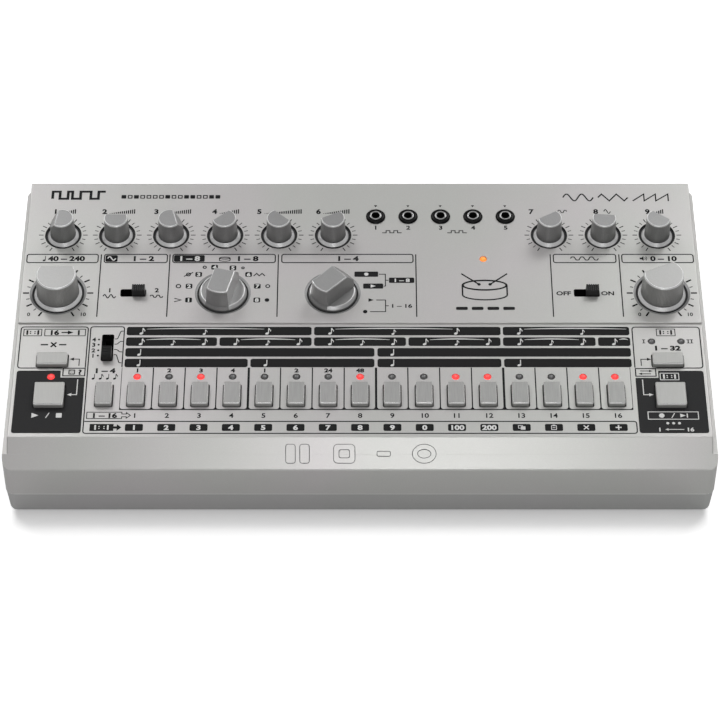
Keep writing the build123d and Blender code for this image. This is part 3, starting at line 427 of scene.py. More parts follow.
def turned_silver(name, colour, *cut):
    """A knob's satin side and top, its cut skirt and crown painted lighter as a highlight; cut is steep, flat, rim
    and rim width.
    """
    bright = bpy.context.scene.drum_knobs.bright
    return finish_of(name, colour, 0.33, metal=0.55, mottle=0.1, streak=0.16, cut=(*cut, bright), **SATIN)


def knob_silver():
    return turned_silver("knob_satin", bpy.context.scene.drum_knobs.colour, 0.62, 0.9, 12.3, 0.7)


def dial_silver():
    return turned_silver("dial_satin", bpy.context.scene.drum_knobs.dial, 0.62, 0.9, 11.2, 0.6)


def selector_silver():
    return turned_silver("selector_satin", bpy.context.scene.drum_knobs.selector, 0.86, 0.94, 10.75, 0.45)


def key_grey(name, colour, rough, metal, streak):
    """A key's brushed top; its round edges and the top of its front face are painted lighter, a painted highlight.
    """
    cut = (0.4, 0.9, KEY_TOP - 0.45, 0.55, bpy.context.scene.drum_knobs.edge_tone)
    return finish_of(name, colour, rough, metal=metal, mottle=0.2, streak=streak, along=(1, 0.06, 1), cut=cut,
                     ease=0.0005, **fine(0.0002, 0.05, 0.02))


def button_grey():
    return key_grey("button_satin", bpy.context.scene.drum_knobs.button, 0.4, 0.3, 0.12)


def step_grey():
    return key_grey("step_satin", bpy.context.scene.drum_knobs.step, 0.38, 0.35, 0.3)


def ink():
    return finish_of("dark_ink", bpy.context.scene.drum_print.ink, 0.6, shine=0.12, **DRY)


def pale_ink():
    colour = bpy.context.scene.drum_print.pale
    return finish_of("pale_ink", colour, 0.6, **fine(0.0003, 0.05, 0.02, shine=0.2))


# ---------------------------------------------------------------- mesh helpers
def put(name, mesh, body, finish, *stands_for):
    """A finished mesh as a piece on a body."""
    mesh.materials.clear()
    mesh.materials.append(finish)
    piece = bpy.data.objects.new(name, mesh)
    bpy.context.scene.collection.objects.link(piece)
    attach(piece, body)
    if stands_for:
        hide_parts(*stands_for)
    return piece


def mesh_of(name, bm, smooth=None):
    """A bmesh as a mesh; smooth is the angle in degrees past which an edge stays sharp."""
    mesh = bpy.data.meshes.new(name)
    bm.to_mesh(mesh)
    bm.free()
    if smooth is not None:
        mesh.polygons.foreach_set("use_smooth", [True] * len(mesh.polygons))
        mesh.set_sharp_from_angle(angle=math.radians(smooth))
    return mesh


def plain_mesh(holder):
    """The plain mesh that an object with a modifier or a curve comes to; the object is removed."""
    source = holder.data
    bpy.context.scene.collection.objects.link(holder)
    graph = bpy.context.evaluated_depsgraph_get()
    done = bpy.data.meshes.new_from_object(holder.evaluated_get(graph))
    bpy.data.objects.remove(holder)
    (bpy.data.meshes if isinstance(source, bpy.types.Mesh) else bpy.data.curves).remove(source)
    return done


def closed_piece(name, bm, finish, place=None, smooth=40, body="casing"):
    """A bmesh in panel millimetres as a piece on a body, its faces turned outward."""
    bmesh.ops.recalc_face_normals(bm, faces=bm.faces)
    mesh = mesh_of(name, bm, smooth)
    mesh.transform(PANEL if place is None else place)
    return put(name, mesh, body, finish)


def merged(node):
    """A CAD node's shape as one joined bmesh with its flat faces whole."""
    source = NODES[node].data
    bm = bmesh.new()
    found = {}
    for polygon in source.polygons:
        corners = []
        for index in polygon.vertices:
            co = source.vertices[index].co
            key = tuple(round(c * 1e7) for c in co)
            if key not in found:
                found[key] = bm.verts.new(co)
            corners.append(found[key])
        if len(set(corners)) == 3:
            try:
                bm.faces.new(corners)
            except ValueError:  # a sliver that repeats a face after the merge
                continue
    bmesh.ops.dissolve_limit(bm, angle_limit=math.radians(0.6), verts=bm.verts, edges=bm.edges)
    return bm


def islands(bm):
    """The separate solids of a bmesh, each a list of faces."""
    left, groups = set(bm.faces), []
    while left:
        seed = left.pop()
        group, edge = [seed], [seed]
        while edge:
            face = edge.pop()
            for link in face.edges:
                for other in link.link_faces:
                    if other in left:
                        left.remove(other)
                        group.append(other)
                        edge.append(other)
        groups.append(group)
    return groups


def keep(bm, wanted):
    """A copy of a bmesh with only the solids whose middle passes wanted."""
    part = bm.copy()
    drop = []
    for group in islands(part):
        corners = {v for f in group for v in f.verts}
        low = Vector([min(v.co[i] for v in corners) for i in range(3)])
        high = Vector([max(v.co[i] for v in corners) for i in range(3)])
        if not wanted((low + high) / 2):
            drop += group
    bmesh.ops.delete(part, geom=drop, context="FACES")
    return part


def split_node(node, smooth, shares):
    """Pieces that stand for one CAD node; each share is a name, a finish and a test that its solids pass."""
    whole = merged(node)
    for name, finish, wanted in shares:
        put(name, mesh_of(name, keep(whole, wanted), smooth), "casing", finish, node)
    whole.free()


def slab(bm, outlines, low, high):
    """A flat closed plate between two levels: the first outline, less the others."""
    loops = [[Vector((u, v, 0)) for u, v in outline] for outline in outlines]
    flat = [point for loop in loops for point in loop]
    top = [bm.verts.new((p.x, p.y, high)) for p in flat]
    foot = [bm.verts.new((p.x, p.y, low)) for p in flat]
    for a, b, c in tessellate_polygon(loops):
        turn = (flat[b] - flat[a]).cross(flat[c] - flat[a]).z
        if abs(turn) < 1e-9:
            continue
        if turn < 0:
            b, c = c, b
        bm.faces.new((top[a], top[b], top[c]))
        bm.faces.new((foot[a], foot[c], foot[b]))
    first = 0
    for number, loop in enumerate(loops):
        n = len(loop)
        area = sum(loop[i].x * loop[(i + 1) % n].y - loop[(i + 1) % n].x * loop[i].y for i in range(n))
        outward = (area > 0) == (number == 0)
        for i in range(n):
            a, b = first + i, first + (i + 1) % n
            corners = (top[b], top[a], foot[a], foot[b])
            bm.faces.new(corners if outward else corners[::-1])
        first += n


def lathe(bm, u, v, profile, steps=64, start=0.0, sweep=360.0):
    """A closed r, w outline turned about an upright axis, all round or through a part of a turn."""
    whole = sweep >= 360
    rings = []
    for k in range(steps if whole else steps + 1):
        a = math.radians(start + sweep * k / steps)
        rings.append([bm.verts.new((u + r * math.cos(a), v + r * math.sin(a), w)) for r, w in profile])
    for here, after in zip(rings, rings[1:] + rings[:1] if whole else rings[1:]):
        for i in range(len(profile)):
            j = (i + 1) % len(profile)
            bm.faces.new((here[i], here[j], after[j], after[i]))
    if not whole:
        bm.faces.new(rings[0])
        bm.faces.new(rings[-1][::-1])


# ---------------------------------------------------------------- outlines, in u and v
def oblong(u0, v0, u1, v1, r, steps=5):
    """A rectangle with round corners, anticlockwise."""
    points = []
    middles = (u1 - r, v1 - r), (u0 + r, v1 - r), (u0 + r, v0 + r), (u1 - r, v0 + r)
    for quarter, (u, v) in enumerate(middles):
        points += arc(u, v, r, 90 * quarter, 90 * quarter + 90, steps)
    return points


def grown_oblong(u, v, half, grow, r):
    """A round-cornered rectangle about a point, its half sizes and corners larger by grow."""
    return oblong(u - half[0] - grow, v - half[1] - grow, u + half[0] + grow, v + half[1] + grow, r + grow)


def disc(u, v, r, count=20, squash=1.0, turn=0.0):
    """A circle or a turned ellipse, anticlockwise."""
    c, s = math.cos(turn), math.sin(turn)
    points = []
    for k in range(count):
        x, y = r * math.cos(2 * math.pi * k / count), r * squash * math.sin(2 * math.pi * k / count)
        points.append((u + x * c - y * s, v + x * s + y * c))
    return points


def arc(u, v, r, start, end, steps=16):
    """Points along an arc, degrees anticlockwise from +u."""
    return [(u + r * math.cos(math.radians(start + (end - start) * k / steps)),
             v + r * math.sin(math.radians(start + (end - start) * k / steps))) for k in range(steps + 1)]


def ribbon(points, width, end_width=None):
    """The outline of a line of a given width along points, tapering where end_width is given."""
    left, right = [], []
    for i, (u, v) in enumerate(points):
        before = points[max(i - 1, 0)]
        after = points[min(i + 1, len(points) - 1)]
        a = Vector((u - before[0], v - before[1]))
        b = Vector((after[0] - u, after[1] - v))
        a, b = (a if i else b).normalized(), (b if i < len(points) - 1 else a).normalized()
        along = (a + b).normalized() if (a + b).length > 1e-6 else a
        across = Vector((-along.y, along.x))
        done = i / (len(points) - 1)
        half = (width if end_width is None else width + (end_width - width) * done) / 2
        half /= max(0.5, abs(across.dot(Vector((-a.y, a.x)))))
        left.append((u + across.x * half, v + across.y * half))
        right.append((u - across.x * half, v - across.y * half))
    return right + left[::-1]


def corner(before, here, after, r, steps=4):
    """The points of a corner rounded to r, or the corner itself."""
    here = Vector(here)
    if r <= 0:
        return [tuple(here)]
    a, b = Vector(before) - here, Vector(after) - here
    start, end = here + a.normalized() * r, here + b.normalized() * r
    shares = [k / steps for k in range(steps + 1)]
    return [tuple(start * (1 - t) ** 2 + here * 2 * t * (1 - t) + end * t ** 2) for t in shares]


def bent(points, r):
    """An open line with its inner corners rounded to r."""
    made = [points[0]]
    for before, here, after in zip(points, points[1:], points[2:]):
        made += corner(before, here, after, r)
    return made + [points[-1]]


def rounded(points, radii):
    """A closed outline with each corner rounded to its own radius."""
    n = len(points)
    made = []
    for i, r in enumerate(radii):
        made += corner(points[i - 1], points[i], points[(i + 1) % n], r)
    return made


class Artwork:
    """Flat shapes in panel millimetres, gathered into one thin raised mesh."""

    def __init__(self, level, pale=False):
        """Empty, at a field's level; pale ink lies on the dark ink."""
        foot = level + (INK if pale else 0.0)
        self.bm = bmesh.new()
        self.low, self.high = foot - 0.01, foot + INK

    def fill(self, *outlines):
        slab(self.bm, outlines, self.low, self.high)

    def plate(self, u0, v0, u1, v1):
        """A rectangle with sharp corners."""
        self.fill([(u0, v0), (u1, v0), (u1, v1), (u0, v1)])

    def box(self, u0, v0, u1, v1, r=0.8):
        self.fill(oblong(u0, v0, u1, v1, r))

    def border(self, u0, v0, u1, v1, r=1.3, line=None):
        w = line or rule()
        self.fill(oblong(u0, v0, u1, v1, r), oblong(u0 + w, v0 + w, u1 - w, v1 - w, max(0.05, r - w)))

    def line(self, points, width=None, end_width=None):
        self.fill(ribbon(points, width or rule(), end_width))

    def dot(self, u, v, r, **more):
        self.fill(disc(u, v, r, **more))

    def ring(self, u, v, r, line, count=20):
        self.fill(disc(u, v, r, count), disc(u, v, r - line, count))

    def framed(self, points, width, r=0.3):
        """A closed line round an outline given anticlockwise."""
        n = len(points)
        inner = []
        for i in range(n):
            a = (Vector(points[i]) - Vector(points[i - 1])).normalized()
            b = (Vector(points[(i + 1) % n]) - Vector(points[i])).normalized()
            left_a, left_b = Vector((-a.y, a.x)), Vector((-b.y, b.x))
            across = (left_a + left_b).normalized()
            inner.append(tuple(Vector(points[i]) + across * width / max(0.4, across.dot(left_a))))
        self.fill(rounded(points, [r] * n), rounded(inner, [max(0.05, r - width / 2)] * n))

    def frame_box(self, u0, v0, u1, v1, width=0.38):
        self.framed([(u0, v0), (u1, v0), (u1, v1), (u0, v1)], width)

    def text(self, words, u, v, height, bold=0.0, stretch=1.0):
        """Generic numerals and signs, centred on u, v; height is a numeral's height."""
        curve = bpy.data.curves.new("words", "FONT")
        curve.body, curve.size, curve.align_x = words, height / LETTER_CAP, "CENTER"
        curve.offset, curve.resolution_u = bold + height * 0.022, 3
        curve.extrude = (self.high - self.low) / 2
        mesh = plain_mesh(bpy.data.objects.new("words", curve))
        move = Matrix.Translation((u, v - height / 2, (self.low + self.high) / 2))
        mesh.transform(move @ Matrix.Diagonal((stretch, 1, 1, 1)))
        self.bm.from_mesh(mesh)
        bpy.data.meshes.remove(mesh)

    def piece(self, name, finish, place=None, body="casing"):
        return closed_piece(name, self.bm, finish, place, None, body)


def rule():
    return bpy.context.scene.drum_print.line / MM


# ---------------------------------------------------------------- geometry node helpers
def grow_tree(name, inputs):
    """An empty geometry tree with named inputs, and its input outputs."""
    tree = bpy.data.node_groups.new(name, "GeometryNodeTree")
    tree.interface.new_socket("Geometry", in_out="INPUT", socket_type="NodeSocketGeometry")
    for label, kind, value in inputs:
        socket = tree.interface.new_socket(label, in_out="INPUT", socket_type=kind)
        if value is not None:
            socket.default_value = value
    tree.interface.new_socket("Geometry", in_out="OUTPUT", socket_type="NodeSocketGeometry")
    return tree, tree.nodes.new("NodeGroupInput").outputs


def close_tree(tree, geometry, finish):
    """Ends a tree in Realize Instances and Set Material."""
    real = add_node(tree, "GeometryNodeRealizeInstances", {"Geometry": geometry})
    done = add_node(tree, "GeometryNodeSetMaterial", {"Geometry": real.outputs[0], "Material": finish})
    out = tree.nodes.new("NodeGroupOutput")
    tree.links.new(done.outputs[0], out.inputs[0])


def grown(tree, values):
    """The plain mesh that a tree makes with these input values."""
    holder = bpy.data.objects.new("grown", bpy.data.meshes.new("grown"))
    modifier = holder.modifiers.new("grow", "NODES")
    modifier.node_group = tree
    for item in tree.interface.items_tree:
        if item.item_type == "SOCKET" and item.in_out == "INPUT" and item.name in values:
            modifier[item.identifier] = values[item.name]
    return plain_mesh(holder)


def turned_copies(tree, shape, size, count, sweep, radius, lean=0.0):
    """Copies of a shape on an arc about the origin, clockwise from straight back, each turned to face out."""
    line = add_node(tree, "GeometryNodeMeshLine", {"Count": count})
    index = add_node(tree, "GeometryNodeInputIndex").outputs[0]
    last = math_node(tree, "SUBTRACT", count, 1.0)
    along = math_node(tree, "SUBTRACT", math_node(tree, "DIVIDE", index, last), 0.5)
    angle = math_node(tree, "MULTIPLY", along, sweep)
    u = math_node(tree, "MULTIPLY", math_node(tree, "SINE", angle), radius)
    v = math_node(tree, "MULTIPLY", math_node(tree, "COSINE", angle), radius)
    moved = add_node(tree, "GeometryNodeSetPosition",
                     {"Geometry": line.outputs[0], "Position": vector_node(tree, u, v)})
    turn = vector_node(tree, lean, 0.0, math_node(tree, "MULTIPLY", angle, -1.0))
    placed = {"Points": moved.outputs[0], "Instance": shape, "Rotation": turn, "Scale": size}
    return add_node(tree, "GeometryNodeInstanceOnPoints", placed).outputs[0]


def halfway(tree, first, second):
    return math_node(tree, "MULTIPLY", math_node(tree, "ADD", first, second), 0.5)


def tick_tree():
    """Printed ticks round a dial; every second or third one may be longer."""
    tree, given = grow_tree("dial_ticks", [
        ("Count", WHOLE, 21), ("Sweep", FLOAT, math.radians(300)), ("Inner radius", FLOAT, 8.9),
        ("Long tick", FLOAT, 1.7), ("Short tick", FLOAT, 1.3), ("Long every", WHOLE, 2),
        ("Line", FLOAT, 0.28), ("Long line", FLOAT, 0.28), ("Thickness", FLOAT, INK),
        ("Finish", MATERIAL, None)])
    index = add_node(tree, "GeometryNodeInputIndex").outputs[0]
    is_long = math_node(tree, "LESS_THAN", math_node(tree, "MODULO", index, given["Long every"]), 0.5)
    reach = map_range(tree, is_long, to_low=given["Short tick"], to_high=given["Long tick"])
    wide = map_range(tree, is_long, to_low=given["Line"], to_high=given["Long line"])
    middle = math_node(tree, "ADD", given["Inner radius"], math_node(tree, "MULTIPLY", reach, 0.5))
    tick = add_node(tree, "GeometryNodeMeshCube").outputs[0]
    size = vector_node(tree, wide, reach, given["Thickness"])
    ticks = turned_copies(tree, tick, size, given["Count"], given["Sweep"], middle)
    close_tree(tree, ticks, given["Finish"])
    return tree


def rib_tree():
    """Upright ribs round a tapering knob."""
    tree, given = grow_tree("knob_ribs", [
        ("Count", WHOLE, 92), ("Low radius", FLOAT, 9.2), ("Top radius", FLOAT, 8.6),
        ("Low height", FLOAT, 1.2), ("Top height", FLOAT, 11.8), ("Width", FLOAT, 0.34),
        ("Depth", FLOAT, 0.2), ("Finish", MATERIAL, None)])
    rise = math_node(tree, "SUBTRACT", given["Top height"], given["Low height"])
    taper = math_node(tree, "SUBTRACT", given["Low radius"], given["Top radius"])
    lean = math_node(tree, "ARCTAN2", taper, rise)
    radius = halfway(tree, given["Low radius"], given["Top radius"])
    gaps = math_node(tree, "DIVIDE", math_node(tree, "SUBTRACT", given["Count"], 1.0), given["Count"])
    hexagon = {"Vertices": 6, "Radius": 0.577, "Depth": 1.0}  # one across its flats
    rib = add_node(tree, "GeometryNodeMeshCylinder", hexagon).outputs[0]
    size = vector_node(tree, given["Width"], given["Depth"], rise)
    sweep = math_node(tree, "MULTIPLY", math.tau, gaps)
    ribs = turned_copies(tree, rib, size, given["Count"], sweep, radius, lean)
    lift = vector_node(tree, z=halfway(tree, given["Low height"], given["Top height"]))
    raised = add_node(tree, "GeometryNodeTransform", {"Geometry": ribs, "Translation": lift})
    close_tree(tree, raised.outputs[0], given["Finish"])
    return tree


def plate_tree():
    """A row of printed plates with round corners at an even pitch."""
    tree, given = grow_tree("printed_row", [
        ("Count", WHOLE, STEPS), ("Pitch", FLOAT, STEP_PITCH), ("Width", FLOAT, 7.7),
        ("Height", FLOAT, 3.8), ("Corner", FLOAT, 0.6), ("Thickness", FLOAT, INK),
        ("Finish", MATERIAL, None)])

    def step(kind, inputs, **settings):
        return add_node(tree, kind, inputs, **settings).outputs[0]

    pitch = vector_node(tree, given["Pitch"])
    line = step("GeometryNodeMeshLine", {"Count": given["Count"], "Offset": pitch})
    size = {"Width": given["Width"], "Height": given["Height"]}
    shape = step("GeometryNodeCurvePrimitiveQuadrilateral", size)
    corners = {"Curve": shape, "Radius": given["Corner"], "Count": 4}
    soft = step("GeometryNodeFilletCurve", corners, mode="POLY")
    face = step("GeometryNodeFillCurve", {"Curve": soft}, mode="NGONS")
    both = add_node(tree, "GeometryNodeJoinGeometry")
    thick = step("GeometryNodeExtrudeMesh", {"Mesh": face, "Offset Scale": given["Thickness"]})
    tree.links.new(thick, both.inputs[0])
    tree.links.new(step("GeometryNodeFlipFaces", {"Mesh": face}), both.inputs[0])
    whole = step("GeometryNodeMergeByDistance", {"Geometry": both.outputs[0], "Distance": 0.001})
    row = step("GeometryNodeInstanceOnPoints", {"Points": line, "Instance": whole})
    close_tree(tree, row, given["Finish"])
    return tree


# ---------------------------------------------------------------- generic signs
def note(art, u, v, size, flag=True):
    """A note: a leaning head, a stem and a flag where it is an eighth."""
    art.dot(u, v, size * 0.23, squash=0.72, turn=0.45)
    stem = u + size * 0.19
    art.plate(stem - size * 0.07, v, stem + size * 0.03, v + size * 0.86)
    if flag:
        shape = ((0, 0.85), (0.1, 0.62), (0.24, 0.5), (0.22, 0.3))
        art.line([(stem + size * x, v + size * y) for x, y in shape], size * 0.16, size * 0.05)


def slur(art, u0, u1, v, rise, width=0.4):
    """A flat bow over a group of notes, thinner at its ends."""
    n = 14
    top = [(u0 + (u1 - u0) * k / n, v + rise * 4 * (k / n) * (1 - k / n)) for k in range(n + 1)]
    low = [(x, y - 0.16 - width * 4 * (k / n) * (1 - k / n)) for k, (x, y) in enumerate(top)]
    art.fill(low + top[::-1])


def wedge(art, u, v, w, h, bars=4):
    """A rising level sign of upright bars."""
    start, low, pitch = u - w / 2, v - h / 2, w / bars
    for k in range(bars):
        left = start + k * pitch
        art.plate(left, low, left + 0.6 * pitch, low + h * (k + 1) / bars)


def wave(art, u, v, w, h, line=0.4, clip=1.0, turns=1.0):
    """A sine line, flattened where clip is below one."""
    n = int(18 * turns)
    art.line([(u - w / 2 + w * k / n, v + h / 2 * max(-clip, min(clip, math.sin(math.tau * turns * k / n))))
              for k in range(n + 1)], line)


def arrow(art, u, v, size, turn=0.0):
    """A solid arrow head; turn in degrees, 0 points to the right."""
    c, s = math.cos(math.radians(turn)), math.sin(math.radians(turn))
    shape = ((-0.5, -0.45), (0.5, 0.0), (-0.5, 0.45))
    art.fill([(u + size * (x * c - y * s), v + size * (x * s + y * c)) for x, y in shape])


def speaker(art, u, v, h):
    """A small loudspeaker sign."""
    shape = ((-0.5, -0.18), (-0.2, -0.18), (0.1, -0.46), (0.1, 0.46), (-0.2, 0.18), (-0.5, 0.18))
    art.fill([(u + h * x, v + h * y) for x, y in shape])
    for r in (0.34, 0.58):
        art.line(arc(u + h * 0.02, v, h * r, -42, 42, 8), h * 0.11)


def loop_sign(art, u, v, w, h, line=0.35):
    """A repeat sign: two rails and two dots."""
    for side in (-1, 1):
        rail = u + side * w / 2
        art.fill(oblong(rail - line, v - h / 2, rail + line, v + h / 2, line * 0.5, 2))
        for up in (0.2, -0.2):
            art.dot(u + side * w * 0.2, v + h * up, line * 0.8, count=12)


def drum_sign(art, u, v, w, h, line=0.5, sticks=True):
    """A plain drum, with two sticks over it."""
    rx, ry, head = w / 2, w * 0.16, v + h * 0.08
    foot, inner = v - h / 2 + ry, rx - line * 1.5
    art.fill(disc(u, head, rx, 40, ry / rx), disc(u, head, inner, 40, (ry - line * 1.3) / inner))
    edge = [(u - (rx - line / 2) * math.cos(a), foot - (ry - line / 2) * math.sin(a))
            for a in (math.pi * k / 20 for k in range(21))]
    side_top = head - line * 0.4
    art.line([(u - rx + line / 2, side_top)] + edge + [(u + rx - line / 2, side_top)], line)
    if sticks:
        for side in (-1, 1):
            tip = (u + side * w * 0.12, head + ry * 0.15)
            art.line([tip, (u + side * w * 0.5, v + h * 0.52)], line)
            art.dot(*tip, line * 1.1, count=14)


# ---------------------------------------------------------------- stage
# where each area lamp stands and looks, its width, its depth and its power
LIGHTS = {
    "rear_left": ((-1.0, 1.3, 1.75), (-0.1, 0.0, 0.0), 1.0, 1.0, 16.3),
    "rear_right": ((1.0, 1.35, 1.6), (0.1, 0.0, 0.0), 1.0, 1.0, 15.9),
    "over_lens": ((0.06, -0.9, 1.12), (0.0, -0.07, 0.03), 0.22, 0.16, 2.15),
    "overhead": ((0.0, 0.1, 1.7), (0.0, 0.0, 0.0), 1.2, 0.9, 4.6),
    "front": ((0.0, -1.9, 0.75), (0.0, 0.0, 0.02), 1.6, 0.5, 4.5),
}
# the painted shade on the floor close under the casing: its reach, how open its dark and its pale end are, and
# how much light its dark end keeps; it ends between two distances to the side of the middle
SHADE_REACH, SHADE_DARK, SHADE_PALE, SHADE_KEEPS = 0.0135, 0.72, 0.97, 0.42
ASIDE_FROM, ASIDE_TO = 0.146, 0.152
FLOOR_GLOW = 0.65  # what the camera sees the open floor give out
AMBIENT, MIRRORED = 0.16, 0.3  # strength of the white surround as a light, and its share in reflections


class DRUM_OT_stage(bpy.types.Operator):
    """Floor, lamps, world and camera"""

    bl_idname = "drum.stage"
    bl_label = "Stage"

    def execute(self, context):
        s = context.scene.drum_stage
        bm = bmesh.new()
        bmesh.ops.create_grid(bm, x_segments=1, y_segments=1, size=6.0)
        mesh = mesh_of("floor", bm)
        mesh.transform(Matrix.Translation((0, 2.0, 0)))
        mesh.materials.append(self.floor_finish(s.floor))
        floor = bpy.data.objects.new("floor", mesh)
        context.scene.collection.objects.link(floor)
        self.world(context.scene)
        for name, settings in LIGHTS.items():
            self.lamp(name, *settings)
        lens = bpy.data.cameras.new("camera")
        lens.lens, lens.sensor_width = s.lens, 36
        lens.clip_start, lens.clip_end = 0.01, 50
        camera = bpy.data.objects.new("camera", lens)
        context.scene.collection.objects.link(camera)
        camera.location = (0, -s.camera_back, s.camera_up)
        camera.rotation_euler = (math.pi / 2 - s.camera_down, 0, 0)
        context.scene.camera = camera
        context.scene.view_settings.view_transform = "Standard"
        return {"FINISHED"}

    @staticmethod
    def seen(tree):
        """One for rays that show the backdrop: camera, glossy and transmission rays."""
        path = add_node(tree, "ShaderNodeLightPath").outputs
        seen = math_node(tree, "MAXIMUM", path["Is Camera Ray"], path["Is Glossy Ray"])
        return math_node(tree, "MAXIMUM", seen, path["Is Transmission Ray"])

    def floor_finish(self, colour):
        """A pale floor with painted shade close under the casing, and none beyond its sides: ambient occlusion
        dims its glow.
        """
        finish = bpy.data.materials.new("pale_floor")
        finish.use_nodes = True
        tree = finish.node_tree
        shader = tree.nodes["Principled BSDF"]
        shader.inputs["Roughness"].default_value = 0.9
        shader.inputs["Specular IOR Level"].default_value = 0.1
        shader.inputs["Emission Color"].default_value = (1, 1, 1, 1)
        lighter = rgba([min(1.0, c * 1.05) for c in colour])
        tree.links.new(mix_colours(tree, self.seen(tree), lighter, rgba(colour)), shader.inputs["Base Color"])
        camera_ray = add_node(tree, "ShaderNodeLightPath").outputs["Is Camera Ray"]
        # painted shade: ambient occlusion dims the floor's glow to the camera close under the casing
        reach = {"Distance": SHADE_REACH}
        openness = add_node(tree, "ShaderNodeAmbientOcclusion", reach, samples=8).outputs["AO"]
        near = map_range(tree, openness, SHADE_DARK, SHADE_PALE, SHADE_KEEPS)
        place = add_node(tree, "ShaderNodeNewGeometry").outputs["Position"]
        x = add_node(tree, "ShaderNodeSeparateXYZ", {0: place}).outputs["X"]
        aside = map_range(tree, math_node(tree, "ABSOLUTE", x), ASIDE_FROM, ASIDE_TO)
        lit = math_node(tree, "MULTIPLY", camera_ray, math_node(tree, "MAXIMUM", near, aside))
        tree.links.new(math_node(tree, "MULTIPLY", lit, FLOOR_GLOW), shader.inputs["Emission Strength"])
        return finish

    def world(self, scene):
        """White all round: bright to the camera, dim as a light and in reflections."""
        world = scene.world = bpy.data.worlds.new("studio")
        world.use_nodes = True
        tree = world.node_tree
        back = tree.nodes["Background"]
        back.inputs["Color"].default_value = (1, 1, 1, 1)
        strength = map_range(tree, self.seen(tree), to_low=AMBIENT)
        glossy = add_node(tree, "ShaderNodeLightPath").outputs["Is Glossy Ray"]
        mirrored = map_range(tree, glossy, to_low=1.0, to_high=MIRRORED)
        tree.links.new(math_node(tree, "MULTIPLY", strength, mirrored), back.inputs["Strength"])

    @staticmethod
    def lamp(name, place, target, width, depth, power):
        light = bpy.data.lights.new(name, "AREA")
        light.shape, light.size, light.size_y, light.energy = "RECTANGLE", width, depth, power
        lamp = bpy.data.objects.new(name, light)
        lamp.location = place
        lamp.rotation_euler = (Vector(target) - Vector(place)).to_track_quat("-Z", "Y").to_euler()
        bpy.context.scene.collection.objects.link(lamp)


# ---------------------------------------------------------------- casing and its finishes
# plain finishes of the CAD nodes that need no more
DRESSED = {
    "foot_rubber": ("rubber_feet",),
    "zinc_steel": ("screws", "usb_socket"),
    "socket_plate": ("rear_plate",),
    "board_mask": ("main_board", "rear_board"),
    "nylon_white": ("lamp_spacers",),
    "pressed_tin": ("potentiometers", "rotary_switches"),
    "moulded_black": ("tact_switches", "board_components", "power_switch_body"),
    "black_plastic": ("panel_sockets", "voice_sockets", "mix_socket", "midi_sockets", "dc_socket",
                      "power_rocker"),
    # the slide switches' own black is the same finish as the painted shade in the holes
    "shade_and_switch_black": ("slide_switches",),
}


def dress(finish, *names):
    """Gives CAD nodes a finish."""
    for name in names:
        if name not in NODES:
            raise RuntimeError("no CAD node is named " + name)
        slots = NODES[name].data.materials
        slots.clear()
        slots.append(finish)


class DRUM_OT_casing(bpy.types.Operator):
    """Paint, plastic and rubber of the casing, its back and its inside"""

    bl_idname = "drum.casing"
    bl_label = "Casing"

    def execute(self, context):
        dress(silver(), "top_shell")
        dress(tray_silver(), "bottom_shell")
        # a painted highlight: a thin band of lighter paint where the shells meet, just proud of the front and the
        # sides
        half_x, front, back, corner_r, deep, low, high = 152.52, -82.52, 76.26, 4.0, 0.1, 14.32, 14.72
        outline = oblong(-half_x, front, half_x, back, corner_r)
        inner = oblong(-half_x + deep, front + deep, half_x - deep, back - deep, corner_r - deep)
        seam = bmesh.new()
        slab(seam, [outline, inner], low, high)
        closed_piece("seam_highlight_band", seam, plain("seam_highlight_paint"), Matrix.Scale(MM, 4))
        for name, nodes in DRESSED.items():
            dress(plain(name), *nodes)
        return {"FINISHED"}


# ---------------------------------------------------------------- knobs, keys, lamps and sockets
# radius and height of the top, the chamfer of the lighter ring round it (a painted highlight), where the ring
# starts and how far it runs, the radius where the ribs end, each end of a rib, and the inner and outer ends of the
# pointer facet; pairs are radius and height
KnobShape = namedtuple("KnobShape", "radius height cut start sweep root rib_foot rib_top facet_in facet_out")
LARGE = KnobShape(8.6, 12.7, 0.42, 148, 244, 9.27, (9.2, 1.1), (8.64, 12.0), (4.7, 12.7), (8.9, 6.2))
SMALL = KnobShape(5.1, 11.5, 0.26, 156, 228, 5.62, (5.56, 1.1), (5.13, 10.9), (2.2, 11.5), (4.9, 7.1))
RIM_PROFILE = ((9.3, 1.7), (9.3, 1.95), (9.62, 1.99), (9.9, 1.9), (10.6, 0.27), (10.4, 0.2), (9.8, 1.6))
RIM_STARTS, RIM_SWEEP = (-58, 122), 116  # degrees; the selector's bar lies between the rims


